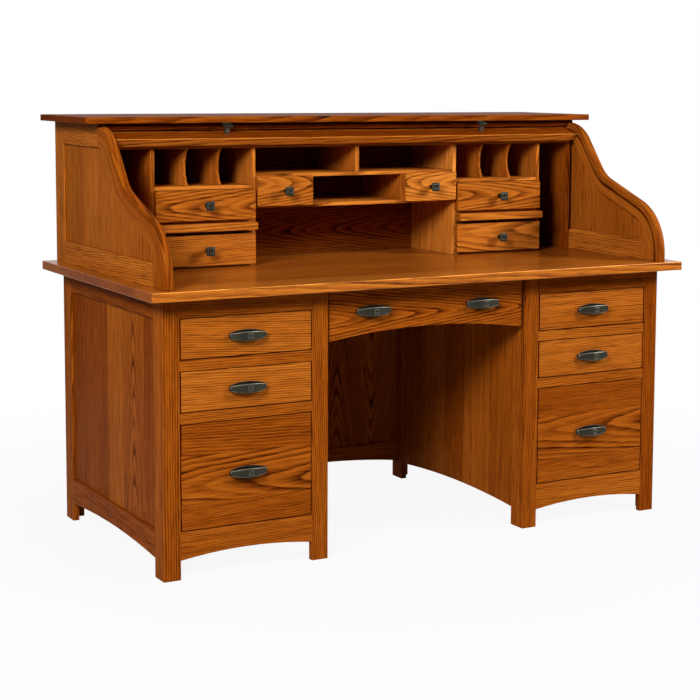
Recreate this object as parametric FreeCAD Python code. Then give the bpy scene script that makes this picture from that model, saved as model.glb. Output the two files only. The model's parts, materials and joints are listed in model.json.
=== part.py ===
import FreeCAD, Part
import math
import os

from FreeCAD import Vector

# S-curve tambour roll-top desk in the mission style, in millimetres.
# The origin is on the floor under the middle of the desk. +X is to the sitter's right seen from the front,
# the front faces -Y and +Z is up.

# Overall sizes
overall_width = 1684.0
overall_depth = 869.0
overall_height = 1190.0
hutch_height = 428.0
kneehole_width = 636.0

# Desk top and pedestals
desk_top_thickness = 25.0
top_overhang_front = 57.0
top_overhang_side = 48.0
top_overhang_back = 48.0
frame_thickness = 18.0
face_stile_width = 48.0
side_stile_width = 60.0
side_top_rail = 56.0
panel_thickness = 6.0
panel_recess = 6.0
inner_panel_thickness = 12.0
inner_panel_recess = 3.0

# Face frame, from the floor up
foot_height = 51.5
arch_rise = 14.5
apron_top = 126.0
face_top_rail = 51.0
face_mid_rail = 28.0
upper_opening = 110.0
middle_opening = 110.0

# Back of the kneehole
modesty_setback = 14.0
modesty_thickness = 12.0
modesty_rail_top = 120.0
modesty_foot = 56.0
modesty_rise = 22.0

# Base drawers
front_gap = 2.5
box_side_gap = 3.0
box_board = 12.0
box_bottom = 6.0
box_bottom_lift = 8.0
box_floor_lift = 2.0
box_headroom = 18.0
pedestal_box_rear_gap = 134.0
runner_height = 20.0
running_gap = 0.3

# Pencil drawer over the kneehole
pencil_recess = 8.0
pencil_side_gap = 5.0
pencil_top_gap = 2.0
pencil_front_height = 143.0
pencil_rise = 25.0
pencil_box_drop = 97.0
pencil_box_height = 60.0
pencil_box_rear_gap = 212.0
pencil_box_inset = 2.0
pencil_pull_drop = 67.0
pencil_pull_inset = 137.0

# Bow pulls and their back plates
pull_length = 104.0
pull_bow = 25.0
pull_end_stand = 9.0
pull_strap = 5.0
pull_post = 6.0
pull_mid_height = 25.0
pull_end_height = 14.0
plate_mid_height = 32.0
plate_end_height = 15.0
plate_thickness = 2.2

# Hutch sides and their S-curve, which runs from the desk top to the crown under the lid
hutch_setback = 21.8
hutch_inset = 45.0
hutch_side_thickness = 25.0
hutch_back_thickness = 12.0
back_stile_width = 75.0
bottom_rail_height = 63.0
front_stile_width = 88.0
curved_stile_width = 58.0
edge_round = 8.0
panel_seat_gap = 0.2
match_tolerance = 0.01
curve_foot = 20.4
bulge_radius = 165.6
bulge_turn = 70.1
slope_length = 167.4
hollow_radius = 115.9
hollow_turn = 31.2
crown_radius = 130.0
crown_drop = 8.0

# Lid and fascia
lid_thickness = 18.0
lid_lap = 29.8
lid_inset = 1.0
fascia_setback = 24.0
fascia_thickness = 18.0
fascia_height = 20.0

# Tambour and its groove
groove_setback = 22.0
groove_play = 0.3
groove_depth = 9.0
groove_end_lift = 20.0
track_back_gap = 42.0
track_bend_radius = 60.0
rail_width = 45.6
rail_thickness = 24.0
rail_open_angle = 22.0
rail_side_gap = 1.5
tongue_thickness = 8.0
tongue_length = 8.0
tongue_end_gap = 1.5
slat_thickness = 12.0
slat_pitch = 22.0
slat_gap = 0.6
slat_chamfer = 2.5
slat_back_taper = 1.2
roll_travel = 55.0
track_spare = 70.0

# Organiser
organiser_setback = 5.5
organiser_rear_gap = 88.0
organiser_headroom = 72.0
organiser_board = 12.0
organiser_back_thickness = 6.0
organiser_top_thickness = 10.0
tall_slot_width = 107.0
side_bay_width = 297.0
bay_floor_thickness = 6.0
slide_shelf_lift = 98.0
slide_shelf_thickness = 8.0
slide_space = 20.0
slot_shelf_lift = 222.0
shelf_thickness = 10.0
centre_slot_height = 76.0
centre_drawer_height = 78.0
centre_drawer_width = 171.0
letter_divider_thickness = 8.0
letter_hollow = 22.0

# Small drawers, pull-out slides and square knobs
small_front_thickness = 19.0
bay_front_overlay = 4.0
centre_front_overlay_out = 2.0
centre_front_overlay_in = 5.0
shelf_front_overlay = 4.0
lower_front_height = 88.0
upper_front_height = 86.0
lower_front_lift = 0.5
upper_front_lift = 1.0
small_box_side_gap = 1.0
small_box_board = 8.0
small_box_bottom = 4.0
small_box_headroom = 4.0
small_box_rear_gap = 44.0
slide_board_thickness = 17.5
slide_rear_gap = 29.0
slide_lip_height = 21.0
slide_lip_depth = 36.0
slide_lip_drop = 0.5
knob_size = 26.0
knob_face = 9.0
knob_taper = 3.0
knob_stem_size = 11.0
knob_stem_length = 20.0
lift_knob_inset = 346.0
lift_knob_setback = 10.0

# Planes that follow from the sizes above
desk_front = -overall_depth / 2
desk_back = overall_depth / 2
writing_height = overall_height - hutch_height
base_top = writing_height - desk_top_thickness
base_front = desk_front + top_overhang_front
base_back = desk_back - top_overhang_back
base_half = overall_width / 2 - top_overhang_side
knee_half = kneehole_width / 2
frame_back = base_front + frame_thickness
side_front = base_front + side_stile_width
side_back = base_back - side_stile_width
opening_out = base_half - face_stile_width
opening_in = knee_half + face_stile_width
lid_bottom = overall_height - lid_thickness
hutch_half = overall_width / 2 - hutch_inset
hutch_inside = hutch_half - hutch_side_thickness
hutch_front = desk_front + hutch_setback


def block(x0, x1, y0, y1, z0, z1):
    """A board with its low and high limits along each axis."""
    return Part.makeBox(x1 - x0, y1 - y0, z1 - z0, Vector(x0, y0, z0))


def mirrored(shape):
    """The same piece on the other side of the desk."""
    return shape.mirror(Vector(0, 0, 0), Vector(1, 0, 0))


def both(shapes):
    """A list of right-hand pieces with their left-hand mirror images."""
    return shapes + [mirrored(shape) for shape in shapes]


def save(name, shapes):
    """Write one node, as a single solid or as a group of separate solids."""
    shape = shapes[0] if len(shapes) == 1 else Part.makeCompound(shapes)
    shape.exportStep(os.path.join("parts", name + ".step"))


def arc(start, middle, end):
    return Part.Arc(start, middle, end).toShape()


def line(start, end):
    return Part.makeLine(start, end)


def solid_from(edges, direction):
    """Extrude the face inside a closed run of edges."""
    wire = Part.Wire(edges)
    return Part.Face(wire).extrude(direction)


def arched_board(low, high, foot, rise, top, place, direction):
    """A rail whose lower edge is an arch between two feet.

    The outline is drawn in the plane that place(along, height) gives, and extruded along direction.
    """
    middle = (low + high) / 2
    corners = [place(low, foot), place(low, top), place(high, top), place(high, foot)]
    edges = [line(corners[0], corners[1]), line(corners[1], corners[2]), line(corners[2], corners[3])]
    edges.append(arc(corners[3], place(middle, foot + rise), corners[0]))
    return solid_from(edges, direction)


def side_arched(x0, x1, y0, y1, foot, rise, top):
    return arched_board(y0, y1, foot, rise, top, lambda y, z: Vector(x0, y, z), Vector(x1 - x0, 0, 0))


def front_arched(x0, x1, y0, y1, foot, rise, top):
    return arched_board(x0, x1, foot, rise, top, lambda x, z: Vector(x, y0, z), Vector(0, y1 - y0, 0))


# Desk top and base

def make_base():
    half_width = overall_width / 2
    save("desk_top", [block(-half_width, half_width, desk_front, desk_back, base_top, writing_height)])

    face_stiles = []
    side_stiles = []
    for y0, y1 in ((base_front, frame_back), (base_back - frame_thickness, base_back)):
        face_stiles.append(block(opening_out, base_half, y0, y1, 0, base_top))
        face_stiles.append(block(knee_half, opening_in, y0, y1, 0, base_top))
    for y0, y1 in ((frame_back, side_front), (side_back, base_back - frame_thickness)):
        side_stiles.append(block(base_half - frame_thickness, base_half, y0, y1, 0, base_top))
        side_stiles.append(block(knee_half, knee_half + frame_thickness, y0, y1, 0, base_top))
    save("face_stiles", both(face_stiles))
    save("side_stiles", both(side_stiles))

    side_rail_bottom = base_top - side_top_rail
    frame_inside = base_half - frame_thickness
    top_rail = block(frame_inside, base_half, side_front, side_back, side_rail_bottom, base_top)
    bottom_rail = side_arched(frame_inside, base_half, side_front, side_back, foot_height, arch_rise,
                              apron_top)
    save("outer_side_rails", both([top_rail, bottom_rail]))

    panel_out = base_half - panel_recess
    panel = block(panel_out - panel_thickness, panel_out, side_front, side_back, apron_top,
                  side_rail_bottom)
    save("outer_side_panels", both([panel]))

    inner_face = knee_half + inner_panel_recess
    inner_back = inner_face + inner_panel_thickness
    inner = side_arched(inner_face, inner_back, side_front, side_back, foot_height, arch_rise, base_top)
    save("inner_side_panels", both([inner]))

    rails = [front_arched(opening_in, opening_out, base_front, frame_back, foot_height, arch_rise,
                          apron_top)]
    rail_bottoms = [base_top - face_top_rail]
    rail_bottoms.append(rail_bottoms[0] - upper_opening - face_mid_rail)
    rail_bottoms.append(rail_bottoms[1] - middle_opening - face_mid_rail)
    for bottom, height in zip(rail_bottoms, (face_top_rail, face_mid_rail, face_mid_rail)):
        rails.append(block(opening_in, opening_out, base_front, frame_back, bottom, bottom + height))
    save("face_rails", both(rails))

    back_face = base_back - panel_recess
    back = block(opening_in, opening_out, back_face - panel_thickness, back_face, foot_height, base_top)
    save("pedestal_backs", both([back]))

    modesty_face = base_back - modesty_setback
    modesty_front = modesty_face - modesty_thickness
    panel = block(-knee_half, knee_half, modesty_front, modesty_face, modesty_rail_top, base_top)
    rail_front = modesty_face - frame_thickness
    rail = front_arched(-knee_half, knee_half, rail_front, modesty_face, modesty_foot, modesty_rise,
                        modesty_rail_top)
    save("modesty_panel", [panel, rail])
    return modesty_front


# Base drawers

def lens(middle, end_height, mid_height, depth):
    """A plate on a drawer front, as long as a pull, with an arched upper and lower edge."""
    half = pull_length / 2
    end = end_height / 2
    high = mid_height / 2

    def front(x, z):
        return middle + Vector(x, 0, z)

    edges = [
        arc(front(-half, end), front(0, high), front(half, end)),
        line(front(half, end), front(half, -end)),
        arc(front(half, -end), front(0, -high), front(-half, -end)),
        line(front(-half, -end), front(-half, end)),
    ]
    return solid_from(edges, Vector(0, -depth, 0))


def pull(centre_x, face_y, centre_z):
    """A cast pull: a strap bowed in plan between two end posts, on a lens-shaped back plate."""
    half = pull_length / 2
    rise = pull_bow - pull_end_stand
    radius = (half ** 2 + rise ** 2) / (2 * rise)
    inner_half = half - pull_post
    inner_end = pull_bow - radius + math.sqrt((radius - pull_strap) ** 2 - inner_half ** 2)

    def plan(x, stand):
        return Vector(centre_x + x, face_y - stand, centre_z - pull_mid_height)

    inner_middle = plan(0, pull_bow - pull_strap)
    edges = [
        arc(plan(-half, pull_end_stand), plan(0, pull_bow), plan(half, pull_end_stand)),
        line(plan(half, pull_end_stand), plan(half, 0)),
        line(plan(half, 0), plan(inner_half, 0)),
        line(plan(inner_half, 0), plan(inner_half, inner_end)),
        arc(plan(inner_half, inner_end), inner_middle, plan(-inner_half, inner_end)),
        line(plan(-inner_half, inner_end), plan(-inner_half, 0)),
        line(plan(-inner_half, 0), plan(-half, 0)),
        line(plan(-half, 0), plan(-half, pull_end_stand)),
    ]
    bow = solid_from(edges, Vector(0, 0, 2 * pull_mid_height))
    middle = Vector(centre_x, face_y, centre_z)
    bow = bow.common(lens(middle, pull_end_height, pull_mid_height, 2 * pull_bow))
    plate = lens(middle, plate_end_height, plate_mid_height, plate_thickness)
    return plate.fuse(bow).removeSplitter().Solids[0]


def drawer_box(x0, x1, y0, y1, z0, z1, board, bottom, lift):
    """The five boards of a drawer box: two sides, front, back and bottom, butted and glued."""
    inside = (x0 + board, x1 - board)
    floor = z0 + lift
    return [
        block(x0, inside[0], y0, y1, z0, z1),
        block(inside[1], x1, y0, y1, z0, z1),
        block(inside[0], inside[1], y0, y0 + board, z0, z1),
        block(inside[0], inside[1], y1 - board, y1, z0, z1),
        block(inside[0], inside[1], y0 + board, y1 - board, floor, floor + bottom),
    ]


def make_pedestal_drawers():
    """Six inset drawers on wooden runners. Returns the runners of the right pedestal."""
    runners = []
    box_back = base_back - panel_recess - panel_thickness - pedestal_box_rear_gap
    top = base_top - face_top_rail
    openings = []
    for name, height in (("upper", upper_opening), ("middle", middle_opening), ("deep", None)):
        bottom = apron_top if height is None else top - height
        openings.append((name, bottom, top))
        top = bottom - face_mid_rail
    for name, bottom, top in openings:
        front = block(opening_in + front_gap, opening_out - front_gap, base_front, frame_back,
                      bottom + front_gap, top - front_gap)
        box_low = bottom + box_floor_lift
        box_in = opening_in + box_side_gap
        box_out = opening_out - box_side_gap
        box = drawer_box(box_in, box_out, frame_back, box_back, box_low, top - box_headroom,
                         box_board, box_bottom, box_bottom_lift)
        bow = pull((opening_in + opening_out) / 2, base_front, (bottom + top) / 2)
        for side, change in (("right", list), ("left", lambda shapes: [mirrored(s) for s in shapes])):
            save(side + "_" + name + "_drawer_front", change([front]))
            save(side + "_" + name + "_drawer_box", change(box))
            save(side + "_" + name + "_drawer_pull", change([bow]))
        runner_top = box_low - running_gap
        for x0, x1 in ((knee_half + frame_thickness, box_in + box_board),
                       (box_out - box_board, base_half - frame_thickness)):
            runners.append(block(x0, x1, frame_back, base_back - frame_thickness,
                                 runner_top - runner_height, runner_top))
    return runners


def make_pencil_drawer(modesty_front):
    """The shallow drawer over the kneehole. Returns its right-hand runner."""
    half = knee_half - pencil_side_gap
    face = base_front + pencil_recess
    box_front = face + frame_thickness
    front_top = base_top - pencil_top_gap
    front = front_arched(-half, half, face, box_front, front_top - pencil_front_height, pencil_rise,
                         front_top)
    save("pencil_drawer_front", [front])
    box_half = half - pencil_box_inset
    box_low = base_top - pencil_box_drop
    box = drawer_box(-box_half, box_half, box_front, modesty_front - pencil_box_rear_gap, box_low,
                     box_low + pencil_box_height, box_board, box_bottom, box_bottom_lift)
    save("pencil_drawer_box", box)
    bow = pull(half - pencil_pull_inset, face, base_top - pencil_pull_drop)
    save("pencil_drawer_pulls", both([bow]))
    runner_top = box_low - running_gap
    runner_front = box_front + running_gap
    return block(box_half - box_board, knee_half, runner_front, modesty_front,
                 runner_top - runner_height, runner_top)


# The S-curve and the tambour track

def heading(angle):
    """Unit vector in the side plane for an angle above the level line that points to the back."""
    return Vector(0, math.cos(math.radians(angle)), math.sin(math.radians(angle)))


def inward(angle):
    """Unit vector square to a heading, on the side that faces into the hutch."""
    return Vector(0, math.sin(math.radians(angle)), -math.cos(math.radians(angle)))


def traced(start, angle, steps, offset, x):
    """Edges and corner points of a path at a distance inside the outline, in the plane at x.

    Each step is (length, 0) for a straight or (radius, turn) for a tangent arc. A positive turn bends
    towards the inside, so its radius shrinks by the offset, and a negative one grows.
    """
    point = Vector(x, start.y, start.z) + inward(angle) * offset
    edges = []
    points = [point]
    for size, turn in steps:
        if turn == 0:
            after = point + heading(angle) * size
            edges.append(line(point, after))
        else:
            side = 1 if turn > 0 else -1
            radius = size - side * offset
            centre = point + inward(angle) * (side * radius)
            half_way = centre - inward(angle - turn / 2) * (side * radius)
            angle = angle - turn
            after = centre - inward(angle) * (side * radius)
            edges.append(arc(point, half_way, after))
        point = after
        points.append(point)
    return edges, points


slope_angle = 90.0 - bulge_turn
neck_angle = slope_angle + hollow_turn
crown_height = lid_bottom - crown_drop
rise_of_bulge = curve_foot + bulge_radius * math.sin(math.radians(bulge_turn))
rise_of_slope = slope_length * math.sin(math.radians(slope_angle))
slope_cosine = math.cos(math.radians(slope_angle))
neck_cosine = math.cos(math.radians(neck_angle))
rise_of_hollow = hollow_radius * (slope_cosine - neck_cosine)
rise_of_crown = crown_radius * (1 - neck_cosine)
rise_below_neck = rise_of_bulge + rise_of_slope + rise_of_hollow
rise_of_neck = crown_height - writing_height - rise_below_neck - rise_of_crown
neck_length = rise_of_neck / math.sin(math.radians(neck_angle))

curve_start = Vector(0, hutch_front, writing_height)
s_curve = [(curve_foot, 0), (bulge_radius, bulge_turn), (slope_length, 0), (hollow_radius, -hollow_turn),
           (neck_length, 0), (crown_radius, neck_angle)]
crown_back = traced(curve_start, 90.0, s_curve, 0, 0)[1][-1].y
crown_axis = Vector(0, crown_back, crown_height - crown_radius)
lid_front = crown_back - lid_lap

track_radius = crown_radius - groove_setback
track_height = crown_height - groove_setback
track_back = desk_back - track_back_gap
top_run_length = track_back - track_bend_radius - crown_back
bend_length = track_bend_radius * math.pi / 2
rear_run_top = track_height - track_bend_radius
rear_run_length = rear_run_top - writing_height - groove_end_lift
rear_bend = (track_bend_radius + groove_setback, 90.0)
whole_track = s_curve + [(top_run_length, 0), rear_bend, (rear_run_length, 0)]


def groove_cutter():
    """The band that the tambour groove takes out of the inner face of the right-hand side."""
    half = tongue_thickness / 2 + groove_play
    outer, outer_points = traced(curve_start, 90.0, whole_track, groove_setback - half, hutch_inside)
    inner, inner_points = traced(curve_start, 90.0, whole_track, groove_setback + half, hutch_inside)
    ends = [line(outer_points[-1], inner_points[-1]), line(inner_points[0], outer_points[0])]
    return solid_from(Part.__sortEdges__(outer + inner + ends), Vector(groove_depth, 0, 0))


def inner_edge(offset, gap, x):
    """The curve along the inner side of the curved stile, from the front stile's edge to the crown."""
    edges, points = traced(curve_start, 90.0, s_curve, offset, x)
    stile_edge = hutch_front + front_stile_width + gap
    radius = bulge_radius - offset
    centre = Vector(x, hutch_front + bulge_radius, writing_height + curve_foot)
    start_angle = math.acos((centre.y - stile_edge) / radius)
    end_angle = math.radians(bulge_turn)

    def on_bulge(angle):
        return centre + Vector(0, -math.cos(angle), math.sin(angle)) * radius

    first = on_bulge(start_angle)
    bulge = arc(first, on_bulge((start_angle + end_angle) / 2), on_bulge(end_angle))
    return [bulge] + edges[2:], first, points[-1]


def make_hutch():
    groove = groove_cutter()
    outer, outer_points = traced(curve_start, 90.0, s_curve, 0, hutch_inside)
    inner, inner_start, inner_end = inner_edge(curved_stile_width, 0, hutch_inside)
    stile_foot = Vector(hutch_inside, hutch_front + front_stile_width, writing_height)
    ends = [line(outer_points[-1], inner_end), line(inner_start, stile_foot)]
    ends.append(line(stile_foot, outer_points[0]))
    stile = solid_from(Part.__sortEdges__(outer + inner + ends), Vector(hutch_side_thickness, 0, 0))
    stile = rounded_front(stile).cut(groove)
    save("curved_stiles", both([stile.Solids[0]]))

    stile_front = desk_back - back_stile_width
    rail_front = hutch_front + front_stile_width
    rail_top = writing_height + bottom_rail_height
    rail_bottom = crown_height - curved_stile_width
    frame = [
        block(hutch_inside, hutch_half, crown_back, stile_front, rail_bottom, lid_bottom),
        block(hutch_inside, hutch_half, rail_front, stile_front, writing_height, rail_top),
        block(hutch_inside, hutch_half, stile_front, desk_back, writing_height, lid_bottom),
    ]
    save("hutch_side_frames", both([piece.cut(groove).Solids[0] for piece in frame]))

    panel_in = hutch_half - panel_recess - panel_thickness
    edge, edge_start, edge_end = inner_edge(curved_stile_width + panel_seat_gap, panel_seat_gap, panel_in)
    corners = [
        Vector(panel_in, crown_back, edge_end.z),
        Vector(panel_in, stile_front, edge_end.z),
        Vector(panel_in, stile_front, rail_top),
        Vector(panel_in, edge_start.y, rail_top),
    ]
    sides = [line(corners[0], corners[1]), line(corners[1], corners[2]), line(corners[2], corners[3])]
    sides.append(line(corners[3], edge_start))
    panel = solid_from(Part.__sortEdges__(edge + sides), Vector(panel_thickness, 0, 0))
    save("hutch_side_panels", both([panel]))

    lid_half = overall_width / 2 - lid_inset
    save("hutch_top", [block(-lid_half, lid_half, lid_front, desk_back, lid_bottom, overall_height)])
    fascia_front = lid_front + fascia_setback
    fascia = block(-hutch_inside, hutch_inside, fascia_front, fascia_front + fascia_thickness,
                   lid_bottom - fascia_height, lid_bottom)
    save("fascia", [fascia])
    back = block(-hutch_inside, hutch_inside, desk_back - hutch_back_thickness, desk_back, writing_height,
                 lid_bottom)
    save("hutch_back", [back])


def middle_of(edge):
    return edge.valueAt((edge.FirstParameter + edge.LastParameter) / 2)


def rounded_front(stile):
    """Round over both long edges of the S-curved front."""
    outline = [middle_of(edge) for edge in traced(curve_start, 90.0, s_curve, 0, 0)[0]]
    chosen = []
    for edge in stile.Edges:
        middle = middle_of(edge)
        middle.x = 0
        on_outline = min(middle.distanceToPoint(point) for point in outline) < match_tolerance
        if on_outline and edge.BoundBox.XLength < match_tolerance:
            chosen.append(edge)
    return stile.makeFillet(edge_round, chosen)


# Tambour

def on_track(distance):
    """Place and heading on the track's centre line, at a distance behind the end of the crown."""
    if distance < 0:
        turned = -distance / track_radius
        radial = Vector(0, -math.sin(turned), math.cos(turned))
        return crown_axis + radial * track_radius, math.degrees(turned)
    if distance < top_run_length:
        return Vector(0, crown_back + distance, track_height), 0.0
    if distance < top_run_length + bend_length:
        turned = (distance - top_run_length) / track_bend_radius
        centre = Vector(0, crown_back + top_run_length, rear_run_top)
        radial = Vector(0, math.sin(turned), math.cos(turned))
        return centre + radial * track_bend_radius, -math.degrees(turned)
    return Vector(0, track_back, rear_run_top - (distance - top_run_length - bend_length)), -90.0


def laid(shape, point, angle):
    """Turn a piece made level about the X axis to a heading, and move it to its place."""
    placed = shape.copy()
    placed.rotate(Vector(0, 0, 0), Vector(1, 0, 0), angle)
    placed.translate(point)
    return placed


def grooved_bar(outline):
    """A bar across the desk with the given section, and a tongue at each end for the groove."""
    body_half = hutch_inside - rail_side_gap
    points = [Vector(-body_half, y, z) for y, z in outline]
    bar = solid_from(Part.makePolygon(points + points[:1]).Edges, Vector(2 * body_half, 0, 0))
    end_half = hutch_inside + groove_depth - tongue_end_gap
    tongue = block(-end_half, end_half, -tongue_length / 2, tongue_length / 2,
                   -tongue_thickness / 2, tongue_thickness / 2)
    return bar.fuse(tongue).removeSplitter().Solids[0]


def slat(distance):
    """One slat, eased along its front edges and tapered to the back so that it can pass the bends."""
    half = slat_pitch / 2 - slat_gap / 2
    thick = slat_thickness / 2
    eased = half - slat_chamfer
    back = half - slat_back_taper
    outline = [(-back, -thick), (back, -thick), (half, 0), (half, thick - slat_chamfer), (eased, thick),
               (-eased, thick), (-half, thick - slat_chamfer), (-half, 0)]
    point, angle = on_track(distance)
    return laid(grooved_bar(outline), point, angle)


def knob():
    """A square knob with a flared head, standing along +Z on its square stem."""
    half = knob_size / 2
    neck = half - knob_taper
    stem_half = knob_stem_size / 2
    stem = block(-stem_half, stem_half, -stem_half, stem_half, 0, knob_stem_length)
    head = Part.makeWedge(-neck, 0, -neck, -half, -half, neck, knob_face, neck, half, half)
    head.rotate(Vector(0, 0, 0), Vector(1, 0, 0), 90)
    head.translate(Vector(0, 0, knob_stem_length))
    return stem.fuse(head).removeSplitter().Solids[0]


def make_tambour():
    """The lift rail, flush with the outer side of its tongues, its two knobs, and the slats behind it."""
    top = tongue_thickness / 2
    low = top - rail_thickness
    flare = rail_width / 2 / track_radius
    front = flare * (track_radius + top)
    back = flare * (track_radius + low)
    rail = grooved_bar([(-back, low), (back, low), (front, top), (-front, top)])
    point, angle = on_track(-track_radius * math.radians(rail_open_angle))
    save("lift_rail", [laid(rail, point, angle)])

    knobs = []
    for side in (1, -1):
        raised = knob()
        raised.translate(Vector(side * (hutch_inside - lift_knob_inset), lift_knob_setback, top))
        knobs.append(laid(raised, point, angle))
    save("lift_knobs", knobs)

    rail_edge = -track_radius * (math.radians(rail_open_angle) - math.atan(flare))
    first = rail_edge + slat_pitch / 2
    track_end = top_run_length + bend_length + rear_run_length - track_spare
    count = 1 + int((track_end - slat_pitch / 2 - first) / slat_pitch)
    reach = roll_travel + slat_pitch / 2
    groups = {"bending_slats": [], "top_run_slats": [], "rear_run_slats": []}
    for number in range(count):
        distance = first + number * slat_pitch
        if distance < reach or top_run_length < distance < top_run_length + bend_length + reach:
            groups["bending_slats"].append(slat(distance))
        elif distance < top_run_length:
            groups["top_run_slats"].append(slat(distance))
        else:
            groups["rear_run_slats"].append(slat(distance))
    for name, slats in groups.items():
        save(name, slats)


# Organiser

organiser_front = lid_front + organiser_setback
organiser_back = track_back - organiser_rear_gap
organiser_inside = organiser_back - organiser_back_thickness
organiser_top = lid_bottom - organiser_headroom
small_front_back = organiser_front - running_gap
bay_out = hutch_inside - 2 * organiser_board - tall_slot_width
bay_in = bay_out - side_bay_width
centre_half = bay_in - organiser_board
floor_top = writing_height + bay_floor_thickness
slide_shelf = writing_height + slide_shelf_lift
slide_floor = slide_shelf + slide_shelf_thickness
upper_shelf = slide_floor + slide_space
slot_shelf = writing_height + slot_shelf_lift
centre_shelf_high = organiser_top - centre_slot_height - shelf_thickness
centre_floor = centre_shelf_high - centre_drawer_height
centre_drawer_side = centre_half - centre_drawer_width


def make_organiser():
    y0 = organiser_front
    y1 = organiser_inside
    top = organiser_top

    def level(x0, x1, low, thickness):
        return block(x0, x1, y0, y1, low, low + thickness)

    def upright(x0, x1, low, high):
        return block(x0, x1, y0, y1, low, high)

    top_board = block(-hutch_inside, hutch_inside, y0, organiser_back, top, top + organiser_top_thickness)
    bay_levels = [
        level(bay_in, bay_out, writing_height, bay_floor_thickness),
        level(bay_in, bay_out, slide_shelf, slide_shelf_thickness),
        level(bay_in, bay_out, upper_shelf, slide_shelf_thickness),
        level(bay_in, bay_out, slot_shelf, shelf_thickness),
    ]
    centre_levels = [level(-centre_half, centre_half, low, shelf_thickness)
                     for low in (centre_floor - shelf_thickness, centre_shelf_high)]
    save("organiser_shelves", [top_board] + both(bay_levels) + centre_levels)

    right = [
        upright(centre_half, bay_in, writing_height, top),
        upright(bay_out, bay_out + organiser_board, writing_height, top),
        block(hutch_inside - organiser_board, hutch_inside, y0, organiser_back, writing_height, top),
        upright(centre_drawer_side - shelf_thickness, centre_drawer_side, centre_floor, centre_shelf_high),
    ]
    middle = upright(-organiser_board / 2, organiser_board / 2, centre_shelf_high + shelf_thickness, top)
    save("organiser_uprights", both(right) + [middle])

    panel_half = hutch_inside - organiser_board
    save("organiser_back", [block(-panel_half, panel_half, y1, organiser_back, writing_height, top)])

    low = slot_shelf + shelf_thickness
    slot = (side_bay_width - 2 * letter_divider_thickness) / 3
    dividers = []
    for number in (1, 2):
        x0 = bay_in + number * slot + (number - 1) * letter_divider_thickness
        corners = [Vector(x0, y0, low), Vector(x0, y1, low), Vector(x0, y1, top), Vector(x0, y0, top)]
        edges = [line(corners[0], corners[1]), line(corners[1], corners[2]), line(corners[2], corners[3])]
        edges.append(arc(corners[3], Vector(x0, y0 + letter_hollow, (low + top) / 2), corners[0]))
        dividers.append(solid_from(edges, Vector(letter_divider_thickness, 0, 0)))
    save("letter_dividers", both(dividers))


def small_drawer(name, front_x, front_z, bay_x, bay_z):
    """A small drawer with an overlaid front and a square knob, on both sides of the desk."""
    face = small_front_back - small_front_thickness
    front = block(front_x[0], front_x[1], face, small_front_back, front_z[0], front_z[1])
    box = drawer_box(bay_x[0] + small_box_side_gap, bay_x[1] - small_box_side_gap, small_front_back,
                     organiser_inside - small_box_rear_gap, bay_z[0] + running_gap,
                     bay_z[1] - small_box_headroom, small_box_board, small_box_bottom, small_box_bottom)
    grip = knob()
    grip.rotate(Vector(0, 0, 0), Vector(1, 0, 0), 90)
    grip.translate(Vector(sum(front_x) / 2, face, sum(front_z) / 2))
    for side, change in (("right", list), ("left", lambda shapes: [mirrored(s) for s in shapes])):
        save(side + "_" + name + "_small_drawer", change([front] + box))
        save(side + "_" + name + "_small_knob", change([grip]))


def make_small_drawers():
    bay_x = (bay_in, bay_out)
    front_x = (bay_in - bay_front_overlay, bay_out + bay_front_overlay)
    lower_base = floor_top + lower_front_lift
    lower_front_z = (lower_base, lower_base + lower_front_height)
    small_drawer("lower", front_x, lower_front_z, bay_x, (floor_top, slide_shelf))
    upper_low = upper_shelf + slide_shelf_thickness
    upper_base = upper_low + upper_front_lift
    upper_front_z = (upper_base, upper_base + upper_front_height)
    small_drawer("upper", front_x, upper_front_z, bay_x, (upper_low, slot_shelf))
    centre_x = (centre_drawer_side, centre_half)
    centre_front_x = (centre_x[0] - centre_front_overlay_in, centre_x[1] + centre_front_overlay_out)
    centre_front_z = (centre_floor - shelf_front_overlay, centre_shelf_high + shelf_front_overlay)
    small_drawer("centre", centre_front_x, centre_front_z, centre_x, (centre_floor, centre_shelf_high))

    board_low = slide_floor + running_gap
    board = block(bay_in + small_box_side_gap, bay_out - small_box_side_gap, small_front_back,
                  organiser_inside - slide_rear_gap, board_low, board_low + slide_board_thickness)
    lip_low = slide_floor - slide_lip_drop
    lip = block(front_x[0], front_x[1], small_front_back - slide_lip_depth, small_front_back, lip_low,
                lip_low + slide_lip_height)
    save("right_pull_out_slide", [board, lip])
    save("left_pull_out_slide", [mirrored(board), mirrored(lip)])


os.makedirs("parts", exist_ok=True)
knee_back = make_base()
pedestal_runners = make_pedestal_drawers()
pencil_runner = make_pencil_drawer(knee_back)
save("drawer_runners", both(pedestal_runners + [pencil_runner]))
make_hutch()
make_tambour()
make_organiser()
make_small_drawers()
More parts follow.
